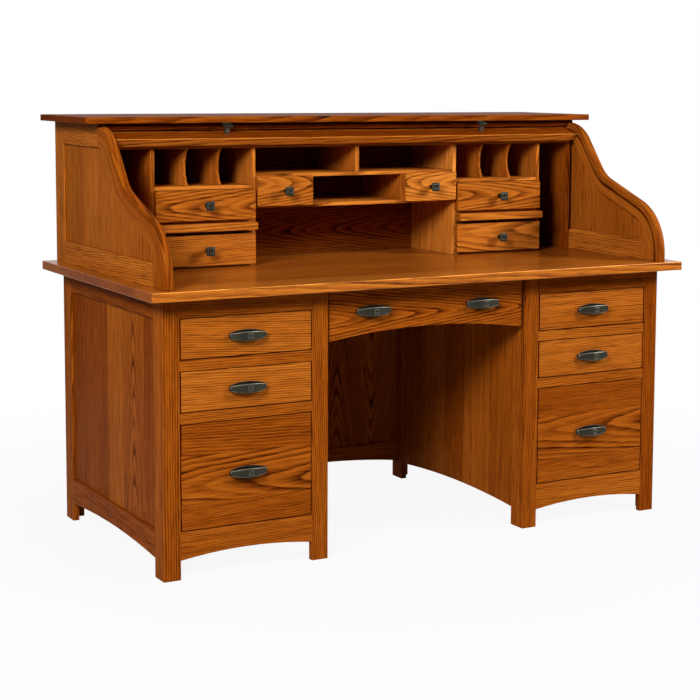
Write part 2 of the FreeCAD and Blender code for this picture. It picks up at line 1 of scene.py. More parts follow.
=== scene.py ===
import json
import math
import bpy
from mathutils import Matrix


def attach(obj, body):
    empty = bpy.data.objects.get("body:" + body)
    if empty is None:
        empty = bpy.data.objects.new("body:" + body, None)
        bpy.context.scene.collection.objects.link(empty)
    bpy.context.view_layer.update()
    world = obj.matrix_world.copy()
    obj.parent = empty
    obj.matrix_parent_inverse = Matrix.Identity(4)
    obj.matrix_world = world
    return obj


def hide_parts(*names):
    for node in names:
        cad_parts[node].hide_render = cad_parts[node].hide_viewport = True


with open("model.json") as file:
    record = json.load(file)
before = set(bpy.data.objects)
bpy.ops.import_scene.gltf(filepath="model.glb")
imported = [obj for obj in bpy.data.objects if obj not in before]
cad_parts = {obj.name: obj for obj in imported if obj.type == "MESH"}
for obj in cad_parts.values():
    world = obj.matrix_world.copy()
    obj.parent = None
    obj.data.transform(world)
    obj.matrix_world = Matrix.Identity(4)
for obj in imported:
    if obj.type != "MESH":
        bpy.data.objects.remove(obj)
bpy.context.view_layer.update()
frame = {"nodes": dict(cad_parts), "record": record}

import zlib

import bpy
import numpy as np
from mathutils import Matrix

MM = 0.001
IMAGE_SIZE = 700
AXES = np.eye(3)
# The two directions that span the plane square to each axis
PLANES = ([1, 2], [2, 0], [0, 1])

# Corner points are rounded to WELD. Places within SAME of each other are one place, and within NEARLY of an
# edge are at it. A solid thinner than SLIVER is no board.
WELD, SAME, NEARLY, SLIVER = 0.01 * MM, 0.02 * MM, 0.05 * MM, 0.1 * MM

# The hutch sides and their S-curve, as drawn for the part: lengths in metres, turns and angles in degrees
WRITING_HEIGHT = 762 * MM
HUTCH_FRONT = -412.7 * MM
HUTCH_INSIDE = 772 * MM
SIDE_THICKNESS = 25 * MM
CROWN_HEIGHT = 1164 * MM
CURVE_FOOT = 20.4 * MM
BULGE_RADIUS, BULGE_TURN = 165.6 * MM, 70.1
SLOPE_LENGTH, SLOPE_ANGLE = 167.4 * MM, 19.9
HOLLOW_RADIUS, NECK_ANGLE = 115.9 * MM, 51.1
CROWN_RADIUS = 130 * MM
FRONT_STILE, CURVED_STILE = 88 * MM, 58 * MM
GROOVE_SETBACK, GROOVE_HALF, GROOVE_DEPTH = 22 * MM, 4.3 * MM, 9 * MM
TRACK_BACK = 392.5 * MM
PANEL_FOOT = 825 * MM
EDGE_ROUND = 8 * MM
INSIDE_CHAMFER, LEAST_CHAMFER_SHARE = 8 * MM, 0.04
CURVE_STEP = 2.5

# The tambour: the lift rail's tilt, where the slats behind it end, where slats change between the crown's
# arc and the straight top run, and where the rear bend lies
LIFT_TILT = math.radians(22.0)
LIFT_SLATS_END = 98 * MM
CHANGEOVER = (80 * MM, 122 * MM)
REAR_BEND, REAR_RUN_TOP = 345 * MM, 1082 * MM

# Eased edges of ordinary boards, show edges, leg and rail frames, hutch sides, thin organiser boards, slats
# and slat tongues. Edges glued to a neighbour stay almost sharp.
BOARD_EASE, SHOW_EASE, FRAME_EASE, HUTCH_EASE = 1.2 * MM, 1.6 * MM, 0.7 * MM, 0.6 * MM
THIN_EASE, SLAT_EASE, TONGUE_EASE = 0.8 * MM, 0.9 * MM, 0.5 * MM
GLUED_CORNER, GLUED_EASE = 0.2 * MM, 0.08 * MM
MOST_EASE_SHARE = 0.3

# Shades and tones multiply a board's colour, and below one is darker. Stain gathers in end grain; the gap
# round a drawer front and the tambour's groove carry painted shadow.
END_SHADE, GAP_PAINTED_SHADOW = 0.7, 0.15
STILE_EDGE_SHADE, GROOVE_PAINTED_SHADOW = 0.8, 0.2
# The upper face of a slat or the lift rail has a painted shadow, its front painted light, and the arris a
# painted highlight
SLAT_TOP_PAINTED_SHADOW, SLAT_FRONT_PAINTED_LIGHT, SLAT_ARRIS_PAINTED_HIGHLIGHT = 0.5, 1.05, 1.5
SLAT_TOP_DEPTH, SLAT_ARRIS_DEPTH = 0.8 * MM, 1.85 * MM
BOARD_TONES, STRIP_TONES, SLAT_TONES = (0.92, 1.08), (0.86, 1.14), (0.9, 1.1)
# A front edge carries a painted highlight to this depth, all over it on a board thinner than THIN
EDGE_HIGHLIGHT_DEPTH, THIN = 1.7 * MM, 20 * MM
# The gap's painted shadow lies between these shares of a drawer front's thickness
GAP_START, GAP_END = 0.01, 0.5


# Colours and nodes

def linear(code):
    """An sRGB hex colour as linear red, green, blue and alpha."""
    parts = [int(code[i:i + 2], 16) / 255 for i in (1, 3, 5)]
    return [c / 12.92 if c <= 0.04045 else ((c + 0.055) / 1.055) ** 2.4 for c in parts] + [1.0]


def add(tree, kind, inputs=None, stops=None, **settings):
    """Add one node with its settings and colour stops; an input is a value or another node's output."""
    made = tree.nodes.new(kind)
    for name, value in settings.items():
        setattr(made, name, value)
    for key, value in (inputs or {}).items():
        if isinstance(value, bpy.types.NodeSocket):
            tree.links.new(value, made.inputs[key])
        else:
            made.inputs[key].default_value = value
    if stops:
        elements = made.color_ramp.elements
        for place, value in stops[2:]:
            elements.new(place)
        for element, (place, value) in zip(elements, stops):
            element.position = place
            element.color = (value, value, value, 1) if np.isscalar(value) else value
    return made.outputs


def new_material(name):
    """A material with one principled shader on its output."""
    made = bpy.data.materials.new(name)
    made.use_nodes = True
    tree = made.node_tree
    tree.nodes.clear()
    shader = tree.nodes.new("ShaderNodeBsdfPrincipled")
    add(tree, "ShaderNodeOutputMaterial", {"Surface": shader.outputs[0]})
    return made, tree, shader


# Patterns in oak: repeats per metre along, across and through the board, then the noise's detail and
# roughness. The rings' slow drift is about 420 by 100 mm and their ripple 90 by 18 mm. Pores are 60 by 3 mm,
# coarser than real ones so that they show. Streaks are 200 by 9 mm, and clouds of stain 770 by 170 mm.
OAK_PATTERNS = {
    "drift": ((2.4, 10.0, 10.0), 2.0, 0.5),
    "ripple": ((11.0, 55.0, 55.0), 2.0, 0.5),
    "pores": ((16.0, 340.0, 340.0), 2.0, 0.5),
    "streaks": ((5.0, 110.0, 110.0), 3.0, 0.6),
    "clouds": ((1.3, 6.0, 6.0), 2.0, 0.5),
}
RING_WIDTH, DRIFT, RIPPLE = 5 * MM, 11 * MM, 2.5 * MM
WEAKEST_RING = 0.35
# Shares of the darkness that rings and streaks bring, and how thick pores lie in and between the rings
RING_SHARE, STREAK_SHARE = 0.72, 0.14
PORES_IN_RINGS, PORES_BETWEEN = 0.75, 0.40
# A tone scales the colour by one power of itself and sets the colour's gamma by the other
TONE_SCALE_POWER, TONE_GAMMA_POWER = 0.65, -0.35
PORE_ROUGHNESS = 0.16
PORE_DEPTH, PORE_BUMP = 0.25 * MM, 0.2


def oak(name, light, middle, dark, pore_share, roughness, ior):
    """Plain-sawn red oak, stained and satin varnished.

    Growth rings show as nested arches or straight lines, with a sharp dark start where the open pores took
    the stain and a slow fade, and thin pore lines run along the grain. Rings are 5 mm apart, as wide as they
    need to be to show at this size. Each board's place in its log is in the heart and grain attributes.
    """
    made, tree, shader = new_material(name)
    grain = add(tree, "ShaderNodeAttribute", attribute_name="grain")["Vector"]
    heart = add(tree, "ShaderNodeAttribute", attribute_name="heart")["Vector"]
    tone = add(tree, "ShaderNodeAttribute", attribute_name="tone")["Fac"]
    noise = {}
    for pattern, (repeats, detail, rough) in OAK_PATTERNS.items():
        place = add(tree, "ShaderNodeVectorMath", {0: grain, 1: repeats}, operation="MULTIPLY")[0]
        noise[pattern] = add(tree, "ShaderNodeTexNoise",
                             {"Vector": place, "Scale": 1.0, "Detail": detail, "Roughness": rough})["Fac"]

    # A point's ring is its distance from the heart, bent by the drift and the ripple, over the ring's width
    offset = add(tree, "ShaderNodeSeparateXYZ", {0: heart})
    flat = add(tree, "ShaderNodeCombineXYZ", {0: offset[0], 1: offset[1]})[0]
    radius = add(tree, "ShaderNodeVectorMath", {0: flat}, operation="LENGTH")["Value"]
    radius = add(tree, "ShaderNodeMath", {0: radius, 1: offset[2]}, operation="ADD")[0]
    for bend, size in ((noise["drift"], DRIFT), (noise["ripple"], RIPPLE)):
        radius = add(tree, "ShaderNodeMath", {0: bend, 1: size, 2: radius}, operation="MULTIPLY_ADD")[0]
    ring = add(tree, "ShaderNodeMath", {0: radius, 1: RING_WIDTH}, operation="DIVIDE")[0]

    # Each ring starts dark and fades, and some rings are much stronger than others
    phase = add(tree, "ShaderNodeMath", {0: ring}, operation="FRACT")[0]
    band = add(tree, "ShaderNodeValToRGB", {0: phase},
               [(0.0, 0.5), (0.07, 1.0), (0.32, 0.55), (0.64, 0.12), (0.94, 0.0), (1.0, 0.5)])[0]
    number = add(tree, "ShaderNodeMath", {0: ring}, operation="FLOOR")[0]
    strength = add(tree, "ShaderNodeTexWhiteNoise", {"W": number}, noise_dimensions="1D")["Value"]
    strength = add(tree, "ShaderNodeMapRange", {0: strength, 3: WEAKEST_RING, 4: 1.0})[0]
    band = add(tree, "ShaderNodeMath", {0: band, 1: strength}, operation="MULTIPLY")[0]

    # Pores are thin dark lines, thickest in the dark part of a ring, and streaks are longer and softer
    pores = add(tree, "ShaderNodeValToRGB", {0: noise["pores"]}, [(0.46, 0.0), (0.60, 1.0)])[0]
    crowd = add(tree, "ShaderNodeMath", {0: band, 1: PORES_IN_RINGS, 2: PORES_BETWEEN},
                operation="MULTIPLY_ADD")[0]
    pores = add(tree, "ShaderNodeMath", {0: pores, 1: crowd}, operation="MULTIPLY")[0]
    streak = add(tree, "ShaderNodeValToRGB", {0: noise["streaks"]}, [(0.38, 0.0), (0.68, 1.0)])[0]
    amount = add(tree, "ShaderNodeMath", {0: band, 1: RING_SHARE}, operation="MULTIPLY")[0]
    for mark, share in ((pores, pore_share), (streak, STREAK_SHARE)):
        amount = add(tree, "ShaderNodeMath", {0: mark, 1: share, 2: amount}, operation="MULTIPLY_ADD")[0]
    colour = add(tree, "ShaderNodeValToRGB", {0: amount},
                 [(0.0, linear(light)), (0.40, linear(middle)), (1.0, linear(dark))])[0]

    # Stain lies a little unevenly, and each board has its own tone: most of it scales the colour, and the
    # rest is a power of it, which makes a darker board redder
    cloud = add(tree, "ShaderNodeMapRange", {0: noise["clouds"], 1: 0.3, 2: 0.7, 3: 0.88, 4: 1.12})[0]
    shade = add(tree, "ShaderNodeMath", {0: cloud, 1: tone}, operation="MULTIPLY")[0]
    redder = add(tree, "ShaderNodeMath", {0: shade, 1: TONE_GAMMA_POWER}, operation="POWER")[0]
    scale = add(tree, "ShaderNodeMath", {0: shade, 1: TONE_SCALE_POWER}, operation="POWER")[0]
    colour = add(tree, "ShaderNodeGamma", {0: colour, 1: redder})[0]
    colour = add(tree, "ShaderNodeVectorMath", {0: colour, "Scale": scale}, operation="SCALE")[0]
    tree.links.new(colour, shader.inputs["Base Color"])
    gloss = add(tree, "ShaderNodeMath", {0: amount, 1: PORE_ROUGHNESS, 2: roughness},
                operation="MULTIPLY_ADD")[0]
    tree.links.new(gloss, shader.inputs["Roughness"])
    depth = add(tree, "ShaderNodeMath", {0: 1.0, 1: amount}, operation="SUBTRACT")[0]
    dents = add(tree, "ShaderNodeBump", {"Height": depth, "Strength": PORE_BUMP, "Distance": PORE_DEPTH})[0]
    tree.links.new(dents, shader.inputs["Normal"])
    shader.inputs["IOR"].default_value = ior
    return made


def pewter():
    """Antiqued pewter on cast hardware: dark patina in the hollows, rubbed brighter along the raised rims.

    The relief attribute runs from hollow to rim: mostly wear, with a painted highlight on the pulls' upper
    rims and the lift knobs' sides. A 2 mm mottle breaks up the patina.
    """
    made, tree, shader = new_material("antique_pewter")
    relief = add(tree, "ShaderNodeAttribute", attribute_name="relief")["Fac"]
    place = add(tree, "ShaderNodeTexCoord")["Object"]
    mottle = add(tree, "ShaderNodeTexNoise", {"Vector": place, "Scale": 1 / (2 * MM), "Detail": 3.0})["Fac"]
    wear_and_sheen = add(tree, "ShaderNodeMapRange", {0: mottle, 1: 0.3, 2: 0.7, 3: -0.12, 4: 0.12})[0]
    wear_and_sheen = add(tree, "ShaderNodeMath", {0: relief, 1: wear_and_sheen}, operation="ADD")[0]
    colour = add(tree, "ShaderNodeValToRGB", {0: wear_and_sheen},
                 [(0.0, linear("#131312")), (0.45, linear("#47463b")), (1.0, linear("#979282"))])[0]
    tree.links.new(colour, shader.inputs["Base Color"])
    rough = add(tree, "ShaderNodeMapRange", {0: wear_and_sheen, 3: 0.65, 4: 0.50})[0]
    tree.links.new(rough, shader.inputs["Roughness"])
    shader.inputs["Metallic"].default_value = 1.0
    return made


# Boards

def islands(name):
    """The separate solids of a CAD node, as arrays of corner points, in a steady order.

    Triangles belong together where just two of them share an edge, so boards that only touch stay apart.
    """
    mesh = frame["nodes"][name].data
    points = np.empty(len(mesh.vertices) * 3, np.float32)
    mesh.vertices.foreach_get("co", points)
    mesh.calc_loop_triangles()
    corners = np.empty(len(mesh.loop_triangles) * 3, np.int32)
    mesh.loop_triangles.foreach_get("vertices", corners)
    steps = np.round(points.reshape(-1, 3).astype(float) / WELD).astype(np.int64)
    keys, inverse = np.unique(steps, axis=0, return_inverse=True)
    triangles = inverse.reshape(-1)[corners].reshape(-1, 3)
    sides = np.stack([triangles, np.roll(triangles, -1, axis=1)], axis=-1).reshape(-1, 2)
    _, side_of, uses = np.unique(np.sort(sides, axis=1), axis=0, return_inverse=True, return_counts=True)
    order = np.argsort(side_of.reshape(-1), kind="stable")
    starts = np.cumsum(uses) - uses
    pairs = np.stack([order[starts[uses == 2]], order[starts[uses == 2] + 1]]) // 3
    labels = np.arange(len(triangles))
    while True:
        spread = labels.copy()
        np.minimum.at(spread, pairs.ravel(), np.tile(labels[pairs].min(axis=0), 2))
        spread = spread[spread]
        if np.array_equal(spread, labels):
            break
        labels = spread
    groups = [keys[np.unique(triangles[labels == label])] * WELD for label in np.unique(labels)]
    solid = [group for group in groups if np.ptp(group, axis=0).min() > SLIVER]
    return sorted(solid, key=lambda group: tuple(np.round(group.min(axis=0), 4)))


def sides_of(outline):
    """Unit vectors along the sides that arrive at and leave each point of a closed outline."""
    arrive = outline - np.roll(outline, 1, axis=0)
    arrive = arrive / np.linalg.norm(arrive, axis=1, keepdims=True)
    return arrive, np.roll(arrive, -1, axis=0)


def rounded_corners(corners, radius):
    """A closed outline with its sharp corners rounded.

    A corner becomes an arc of the radius, which starts radius * tan(turn / 2) before it, with a support
    point half as far again beyond each end. Bends under 25 degrees stay single points.
    """
    arrive, leave = sides_of(corners)
    turn = np.arctan2(arrive[:, 0] * leave[:, 1] - arrive[:, 1] * leave[:, 0], (arrive * leave).sum(axis=1))
    sharp = np.abs(turn) > math.radians(25)
    aside = np.stack([-arrive[:, 1], arrive[:, 0]], axis=1) * np.sign(turn)[:, None]
    radius = np.where(sharp, radius, 0)[:, None, None]
    reach = radius * np.tan(np.abs(turn) / 2)[:, None, None]
    swept = np.abs(turn)[:, None, None] * np.linspace(0, 1, 4)[None, :, None]
    bend = corners[:, None] - reach * arrive[:, None]
    bend = bend + radius * (np.sin(swept) * arrive[:, None] + (1 - np.cos(swept)) * aside[:, None])
    points = np.concatenate([bend[:, :1] - 0.5 * reach * arrive[:, None], bend,
                             bend[:, -1:] + 0.5 * reach * leave[:, None]], axis=1)
    kept = sharp[:, None] | (np.arange(points.shape[1]) == 0)
    return points[kept]


def mitres(outline):
    """Outward mitre vectors of a counter-clockwise outline, one per point."""
    arrive, leave = sides_of(outline)
    first = np.stack([arrive[:, 1], -arrive[:, 0]], axis=1)
    second = np.stack([leave[:, 1], -leave[:, 0]], axis=1)
    return (first + second) / (1 + (first * second).sum(axis=1, keepdims=True))


def grid_faces(rows, columns, closed=True):
    """Quads of a grid of rows by columns, joined round the columns when it is closed."""
    steps = columns if closed else columns - 1
    row, column = np.meshgrid(np.arange(rows - 1), np.arange(steps), indexing="ij")
    beside = (column + 1) % columns
    quads = np.stack([row * columns + column, row * columns + beside, (row + 1) * columns + beside,
                      (row + 1) * columns + column], axis=-1)
    return quads.reshape(-1, 4).tolist()


def capped(grid):
    """Points and faces of a tube of closed rings, with a flat cap on its first and last ring."""
    rows, columns = grid.shape[:2]
    faces = grid_faces(rows, columns)
    faces.append(list(range(columns))[::-1])
    faces.append(list(range((rows - 1) * columns, rows * columns)))
    return grid.reshape(-1, 3), faces


def plate(outline, low, high, axis, ease, glued=None):
    """A flat piece with eased edges.

    The closed outline lies in the plane square to the axis. Rings of it follow a quarter-round inwards at
    both faces, so a point is the outline moved in along its mitre by ease * (1 - sin) at a height of
    ease * (1 - cos), with a support ring at 1.3 times the ease on either side. The glued edges, given as a
    column and its values, stay almost sharp.
    """
    area = (outline[:, 0] * np.roll(outline[:, 1], -1) - np.roll(outline[:, 0], -1) * outline[:, 1]).sum()
    outline = outline if area > 0 else outline[::-1]
    column, values = glued if glued else (0, [np.inf])
    values = np.array(values)
    joined = (np.abs(outline[:, column, None] - values) < SAME).any(axis=1)
    ring = rounded_corners(outline, np.where(joined, GLUED_CORNER, 2 * ease))
    joined = (np.abs(ring[:, column, None] - values) < SAME).any(axis=1)
    soft = np.where(joined, GLUED_EASE, ease)
    angle = np.radians([0.0, 30.0, 60.0, 90.0])
    support = [1.3]
    inset = np.concatenate([support, 1 - np.sin(angle), [0.0]])[:, None] * soft
    rise = np.concatenate([[0.0], 1 - np.cos(angle), support])[:, None] * soft
    inset = np.concatenate([inset, inset[::-1]])
    flat = ring[None] - inset[..., None] * mitres(ring)[None]
    points = np.empty(flat.shape[:2] + (3,))
    points[..., PLANES[axis][0]] = flat[..., 0]
    points[..., PLANES[axis][1]] = flat[..., 1]
    points[..., axis] = np.concatenate([low + rise, high - rise[::-1]])
    return capped(points)


def round_middle(flat):
    """Points of a rounded-out outline in order round the middle of their box."""
    middle = (flat.min(axis=0) + flat.max(axis=0)) / 2
    return flat[np.argsort(np.arctan2(flat[:, 1] - middle[1], flat[:, 0] - middle[0]))]


def there_and_back(flat):
    """Points of a board's outline in order: along its lower side, which may be arched, and back."""
    column = int(np.argmax([len(np.unique(values)) for values in flat.T]))
    flat = flat[np.argsort(flat[:, column], kind="stable")]
    lower = flat[:, 1 - column] < (flat[:, 1 - column].min() + flat[:, 1 - column].max()) / 2
    return np.vstack([flat[lower], flat[~lower][::-1]])


def face_outline(group, axis):
    """The corner points of a solid's flat face square to the axis."""
    face = group[group[:, axis] > group[:, axis].max() - SAME]
    return np.unique(np.round(face[:, PLANES[axis]] / SAME), axis=0) * SAME


def box_outline(low, high, axis):
    """The four corners of a box, seen along the axis."""
    first, second = PLANES[axis]
    return np.array([[low[first], low[second]], [high[first], low[second]],
                     [high[first], high[second]], [low[first], high[second]]])


def laid(points, along, through):
    """Points of a straight board as places along, across and through it."""
    return points @ np.stack([along, np.cross(through, along), through], axis=1)


# How boards come from the log. A straight board's heart lies this many millimetres beyond its edge and
# behind it, and an arched board's a share of its width aside and just behind it. The slope tilts the log
# along the board. The ring scale is lower where rings are further apart. The log spread, in metres, keeps
# boards unlike.
STRAIGHT_ASIDE, STRAIGHT_BEHIND, STRAIGHT_SLOPE = (70, 220), (20, 140), (0.0, 0.05)
ARCHED_ASIDE, ARCHED_BEHIND, ARCHED_SLOPE = (-0.3, 0.3), (14, 40), (0.06, 0.14)
RING_SCALE = {"straight": 0.9, "arched": 0.62, "bold": 0.36}
LOG_SPREAD = 40
LEAST_WIDTH = 20 * MM


def grown(local, figure, rng, tone):
    """Where a board sat in its log, from its points along, across and through the board.

    The grain attribute is the point along, across and through the board, shifted at random. The heart
    attribute is the point's offset from the log's heart across and through, and a slope along the board,
    which draws arches. It is smaller for a fast-grown board, whose rings are further apart.
    """
    a, b, c = (local - (local.min(axis=0) + local.max(axis=0)) / 2).T
    width = max(np.ptp(b), LEAST_WIDTH)
    if figure == "straight":
        heart_b = rng.choice([-1, 1]) * (width * 0.5 + rng.uniform(*STRAIGHT_ASIDE) * MM)
        heart_c = rng.uniform(*STRAIGHT_BEHIND) * MM
        slope = rng.choice([-1, 1]) * rng.uniform(*STRAIGHT_SLOPE)
    else:
        heart_b = rng.uniform(*ARCHED_ASIDE) * width
        heart_c = rng.uniform(*ARCHED_BEHIND) * MM
        slope = rng.choice([-1, 1]) * rng.uniform(*ARCHED_SLOPE)
    grain = np.stack([a, b, c], axis=1) + rng.uniform(-LOG_SPREAD, LOG_SPREAD, 3)
    heart = RING_SCALE[figure] * np.stack([b - heart_b, c + heart_c, a * slope], axis=1)
    ends = np.where(np.abs(a) > np.abs(a).max() - NEARLY, END_SHADE, 1.0)
    return grain, heart, ends * tone * rng.uniform(*BOARD_TONES)


def linked(name, data):
    """A new object of the data, in the scene."""
    made = bpy.data.objects.new(name, data)
    bpy.context.scene.collection.objects.link(made)
    return made


def new_piece(name, points, faces, material, body, nodes, attributes):
    """A smooth mesh piece with edges over 38 degrees sharp, which rides on a body in place of CAD nodes."""
    mesh = bpy.data.meshes.new(name)
    mesh.from_pydata(points.tolist(), [], faces)
    mesh.polygons.foreach_set("use_smooth", np.ones(len(mesh.polygons), bool))
    mesh.update()
    mesh.set_sharp_from_angle(angle=math.radians(38))
    mesh.materials.append(material)
    for key, values in attributes.items():
        kind, field = ("FLOAT_VECTOR", "vector") if values.ndim == 2 else ("FLOAT", "value")
        layer = mesh.attributes.new(key, kind, "POINT")
        layer.data.foreach_set(field, values.astype(np.float32).ravel())
    made = linked(name, mesh)
    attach(made, body)
    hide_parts(*nodes)
    return made


def joined_up(parts):
    """Several (points, faces) shapes as one."""
    starts = np.cumsum([0] + [len(points) for points, _ in parts])
    faces = [[index + start for index in face] for start, (_, each) in zip(starts, parts) for face in each]
    return np.vstack([points for points, _ in parts]), faces


bodies = frame["record"]["behaviour"]["bodies"]
body_of_node = {node: body for body, nodes in bodies.items() for node in nodes}
slot_of_node = {part["node"]: part["material_slot"] for part in frame["record"]["subparts"]}
# The varnish shows little shine in the photograph, so its IOR is low, but for the rubbed writing surface
stained = oak("stained_red_oak", "#BE6D20", "#964E15", "#431A03", 0.40, 0.36, 1.05)
rubbed = oak("rubbed_top_red_oak", "#BE6D20", "#964E15", "#431A03", 0.40, 0.20, 1.28)
pale = oak("sealed_inner_oak", "#D9B582", "#C79A62", "#8E6233", 0.25, 0.45, 1.3)
metal = pewter()


class Timber:
    """Collects the boards of one node and makes them one piece.

    The gap is a painted shadow on the edges just behind the front, round a drawer. The edge highlight is a
    painted highlight on the front edge: all of a thin board's, and the upper arris of a thick one's.
    """

    def __init__(self, node, tone=1.0, gap=1.0, edge_highlight=1.0):
        self.node = node
        self.tone = tone
        self.gap = gap
        self.edge_highlight = edge_highlight
        self.front = min(corner[1] for corner in frame["nodes"][node].bound_box)
        self.rng = np.random.default_rng(zlib.crc32(node.encode()))
        self.shapes = []
        self.growth = []

    def put(self, shape, local, figure, tone=1.0, shade=1.0):
        """Add a shape, with the places of its points along, across and through the piece for its grain.

        The shade is a second tone, for each of its points.
        """
        self.shapes.append(shape)
        grain, heart, tones = grown(local, figure, self.rng, self.tone * tone)
        self.growth.append((grain, heart, tones * shade))

    def board(self, low, high, along=None, figure="straight", ease=BOARD_EASE, outline=None, axis=None,
              glued=None, tone=1.0):
        """An eased board between two corners, flat to its thinnest side unless an axis is given."""
        size = high - low
        axis = int(np.argmin(size)) if axis is None else axis
        along = int(np.argmax(size)) if along is None else along
        through = axis if axis != along else int(np.argmin(np.where(np.arange(3) == along, np.inf, size)))
        outline = box_outline(low, high, axis) if outline is None else outline
        shape = plate(outline, low[axis], high[axis], axis, min(ease, size.min() * MOST_EASE_SHARE), glued)
        # The gap's painted shadow falls on the edges just behind a drawer's front
        behind = (shape[0][:, 1] - low[1]) / size[1]
        shade = np.where((behind > GAP_START) & (behind < GAP_END), self.gap, 1.0)
        # Painted highlight along the front edge
        near = shape[0][:, 1] - self.front < EDGE_HIGHLIGHT_DEPTH
        upper = high[2] - shape[0][:, 2] < EDGE_HIGHLIGHT_DEPTH
        shade = np.where(near & (upper | (min(size[0], size[2]) < THIN)), self.edge_highlight, shade)
        self.put(shape, laid(shape[0], AXES[along], AXES[through]), figure, tone, shade)

    def cut(self, group, along=None, figure="straight", ease=BOARD_EASE, tone=1.0):
        """An eased board in the place of one solid, with its arched or hollowed outline kept."""
        low, high = group.min(axis=0), group.max(axis=0)
        axis = int(np.argmin(high - low))
        outline = there_and_back(face_outline(group, axis))
        self.board(low, high, along, figure, ease, outline if len(outline) > 4 else None, axis, tone=tone)

    def strips(self, group, along, widths, figure="arched", ease=BOARD_EASE, tones=None):
        """A wide panel glued up from boards side by side, of the given shares of its width.

        The figure and the tones may be lists, one entry for each board; tones that aren't given are drawn at
        random. The panel's ends may be curved by up to 9 % of its length: each strip's ends follow the
        panel's outline, read off as heights at 13 places over its width.
        """
        low, high = group.min(axis=0), group.max(axis=0)
        size = high - low
        axis = int(np.argmin(size))
        across = 3 - axis - along
        column = PLANES[axis].index(across)
        outline = face_outline(group, axis)
        outline = outline[np.argsort(outline[:, column], kind="stable")]
        lower = outline[:, 1 - column] < low[along] + 0.09 * size[along]
        edges = low[across] + size[across] * np.concatenate([[0], np.cumsum(widths) / np.sum(widths)])
        tones = self.rng.uniform(*STRIP_TONES, len(widths)) if tones is None else tones
        figures = np.broadcast_to(figure, len(widths))
        for start, end, own_figure, own_tone in zip(edges[:-1], edges[1:], figures, tones):
            t = np.linspace(start, end, 13)
            runs = []
            for side in (lower, ~lower):
                height = np.interp(t, outline[side, column], outline[side, 1 - column])
                run = np.stack([t, height], axis=1)
                runs.append(run[[0, -1]] if np.ptp(height) < NEARLY else run)
            strip = np.vstack([runs[0], runs[1][::-1]])
            strip = strip if column == 0 else strip[:, ::-1]
            a, b = low.copy(), high.copy()
            a[across], b[across] = start, end
            self.board(a, b, along, own_figure, ease, strip, axis, (column, edges[1:-1]), own_tone)

    def finish(self, material=None, name=None, body=None):
        """Make the piece, of stained oak and on the node's own body unless others are given."""
        points, faces = joined_up(self.shapes)
        grain, heart, tone = (np.concatenate(values) for values in zip(*self.growth))
        return new_piece(name or "seen_" + self.node, points, faces, material or stained,
                         body or body_of_node[self.node], [self.node],
                         {"grain": grain, "heart": heart, "tone": tone})


def plain_boards(node, figure="straight", along=None, material=None, ease=BOARD_EASE, tone=1.0, gap=1.0,
                 edge_highlight=1.0):
    """Every solid of a node as an eased board of its own; a list of tones goes over them from the left."""
    timber = Timber(node, gap=gap, edge_highlight=edge_highlight)
    groups = islands(node)
    for group, own_tone in zip(groups, np.broadcast_to(tone, len(groups))):
        timber.cut(group, along, figure, ease, own_tone)
    return timber.finish(material)


def glued_panels(node, along, widths, figure="arched", ease=BOARD_EASE, tone=1.0, material=None, tones=None,
                 gap=1.0, edge_highlight=1.0):
    """Every solid of a node as a panel of boards glued side by side."""
    timber = Timber(node, tone, gap, edge_highlight)
    for group in islands(node):
        timber.strips(group, along, widths, figure, ease, tones)
    return timber.finish(material)


# Hutch sides

def heading(angle):
    """The way that a line at the angle runs, in the side plane."""
    return np.stack([np.cos(np.radians(angle)), np.sin(np.radians(angle))], axis=-1)


def inward(angle):
    """The way to the right of that line."""
    return np.stack([np.sin(np.radians(angle)), -np.cos(np.radians(angle))], axis=-1)


def s_curve():
    """The outer line of the curved stile in the side plane: points, headings, and the stile's width at each.

    Straight runs and tangent arcs follow one another from the desk top to the crown. In the bulge the inner
    edge is the front stile's upright edge, which a ray at angle phi meets at radius - upright / cos(phi).
    """
    slope, neck = math.radians(SLOPE_ANGLE), math.radians(NECK_ANGLE)
    rise = CURVE_FOOT + BULGE_RADIUS * math.sin(math.radians(BULGE_TURN)) + SLOPE_LENGTH * math.sin(slope)
    rise += HOLLOW_RADIUS * (math.cos(slope) - math.cos(neck)) + CROWN_RADIUS * (1 - math.cos(neck))
    neck_length = (CROWN_HEIGHT - WRITING_HEIGHT - rise) / math.sin(neck)
    steps = [(CURVE_FOOT, 0), (BULGE_RADIUS, BULGE_TURN), (SLOPE_LENGTH, 0),
             (HOLLOW_RADIUS, SLOPE_ANGLE - NECK_ANGLE), (neck_length, 0), (CROWN_RADIUS, NECK_ANGLE)]
    point, angle = np.array([HUTCH_FRONT, WRITING_HEIGHT]), 90.0
    upright = BULGE_RADIUS - FRONT_STILE
    points, angles, widths = [], [], []
    for size, turn in steps:
        t = np.linspace(0, 1, 4 if turn == 0 else 2 + int(abs(turn) / CURVE_STEP))
        side = np.sign(turn)
        run_angles = angle - turn * t
        if turn == 0:
            run = point + t[:, None] * size * heading(angle)
        else:
            run = point + side * size * (inward(angle) - inward(run_angles))
        width = np.full(len(t), CURVED_STILE)
        if size == CURVE_FOOT or turn == BULGE_TURN:
            width = np.maximum(BULGE_RADIUS - upright / np.cos(np.radians(90 - run_angles)), CURVED_STILE)
        points.append(run[:-1])
        angles.append(run_angles[:-1])
        widths.append(width[:-1])
        point, angle = run[-1], run_angles[-1]
    return (np.vstack(points + [point[None]]), np.concatenate(angles + [[angle]]),
            np.concatenate(widths + [[CURVED_STILE]]))


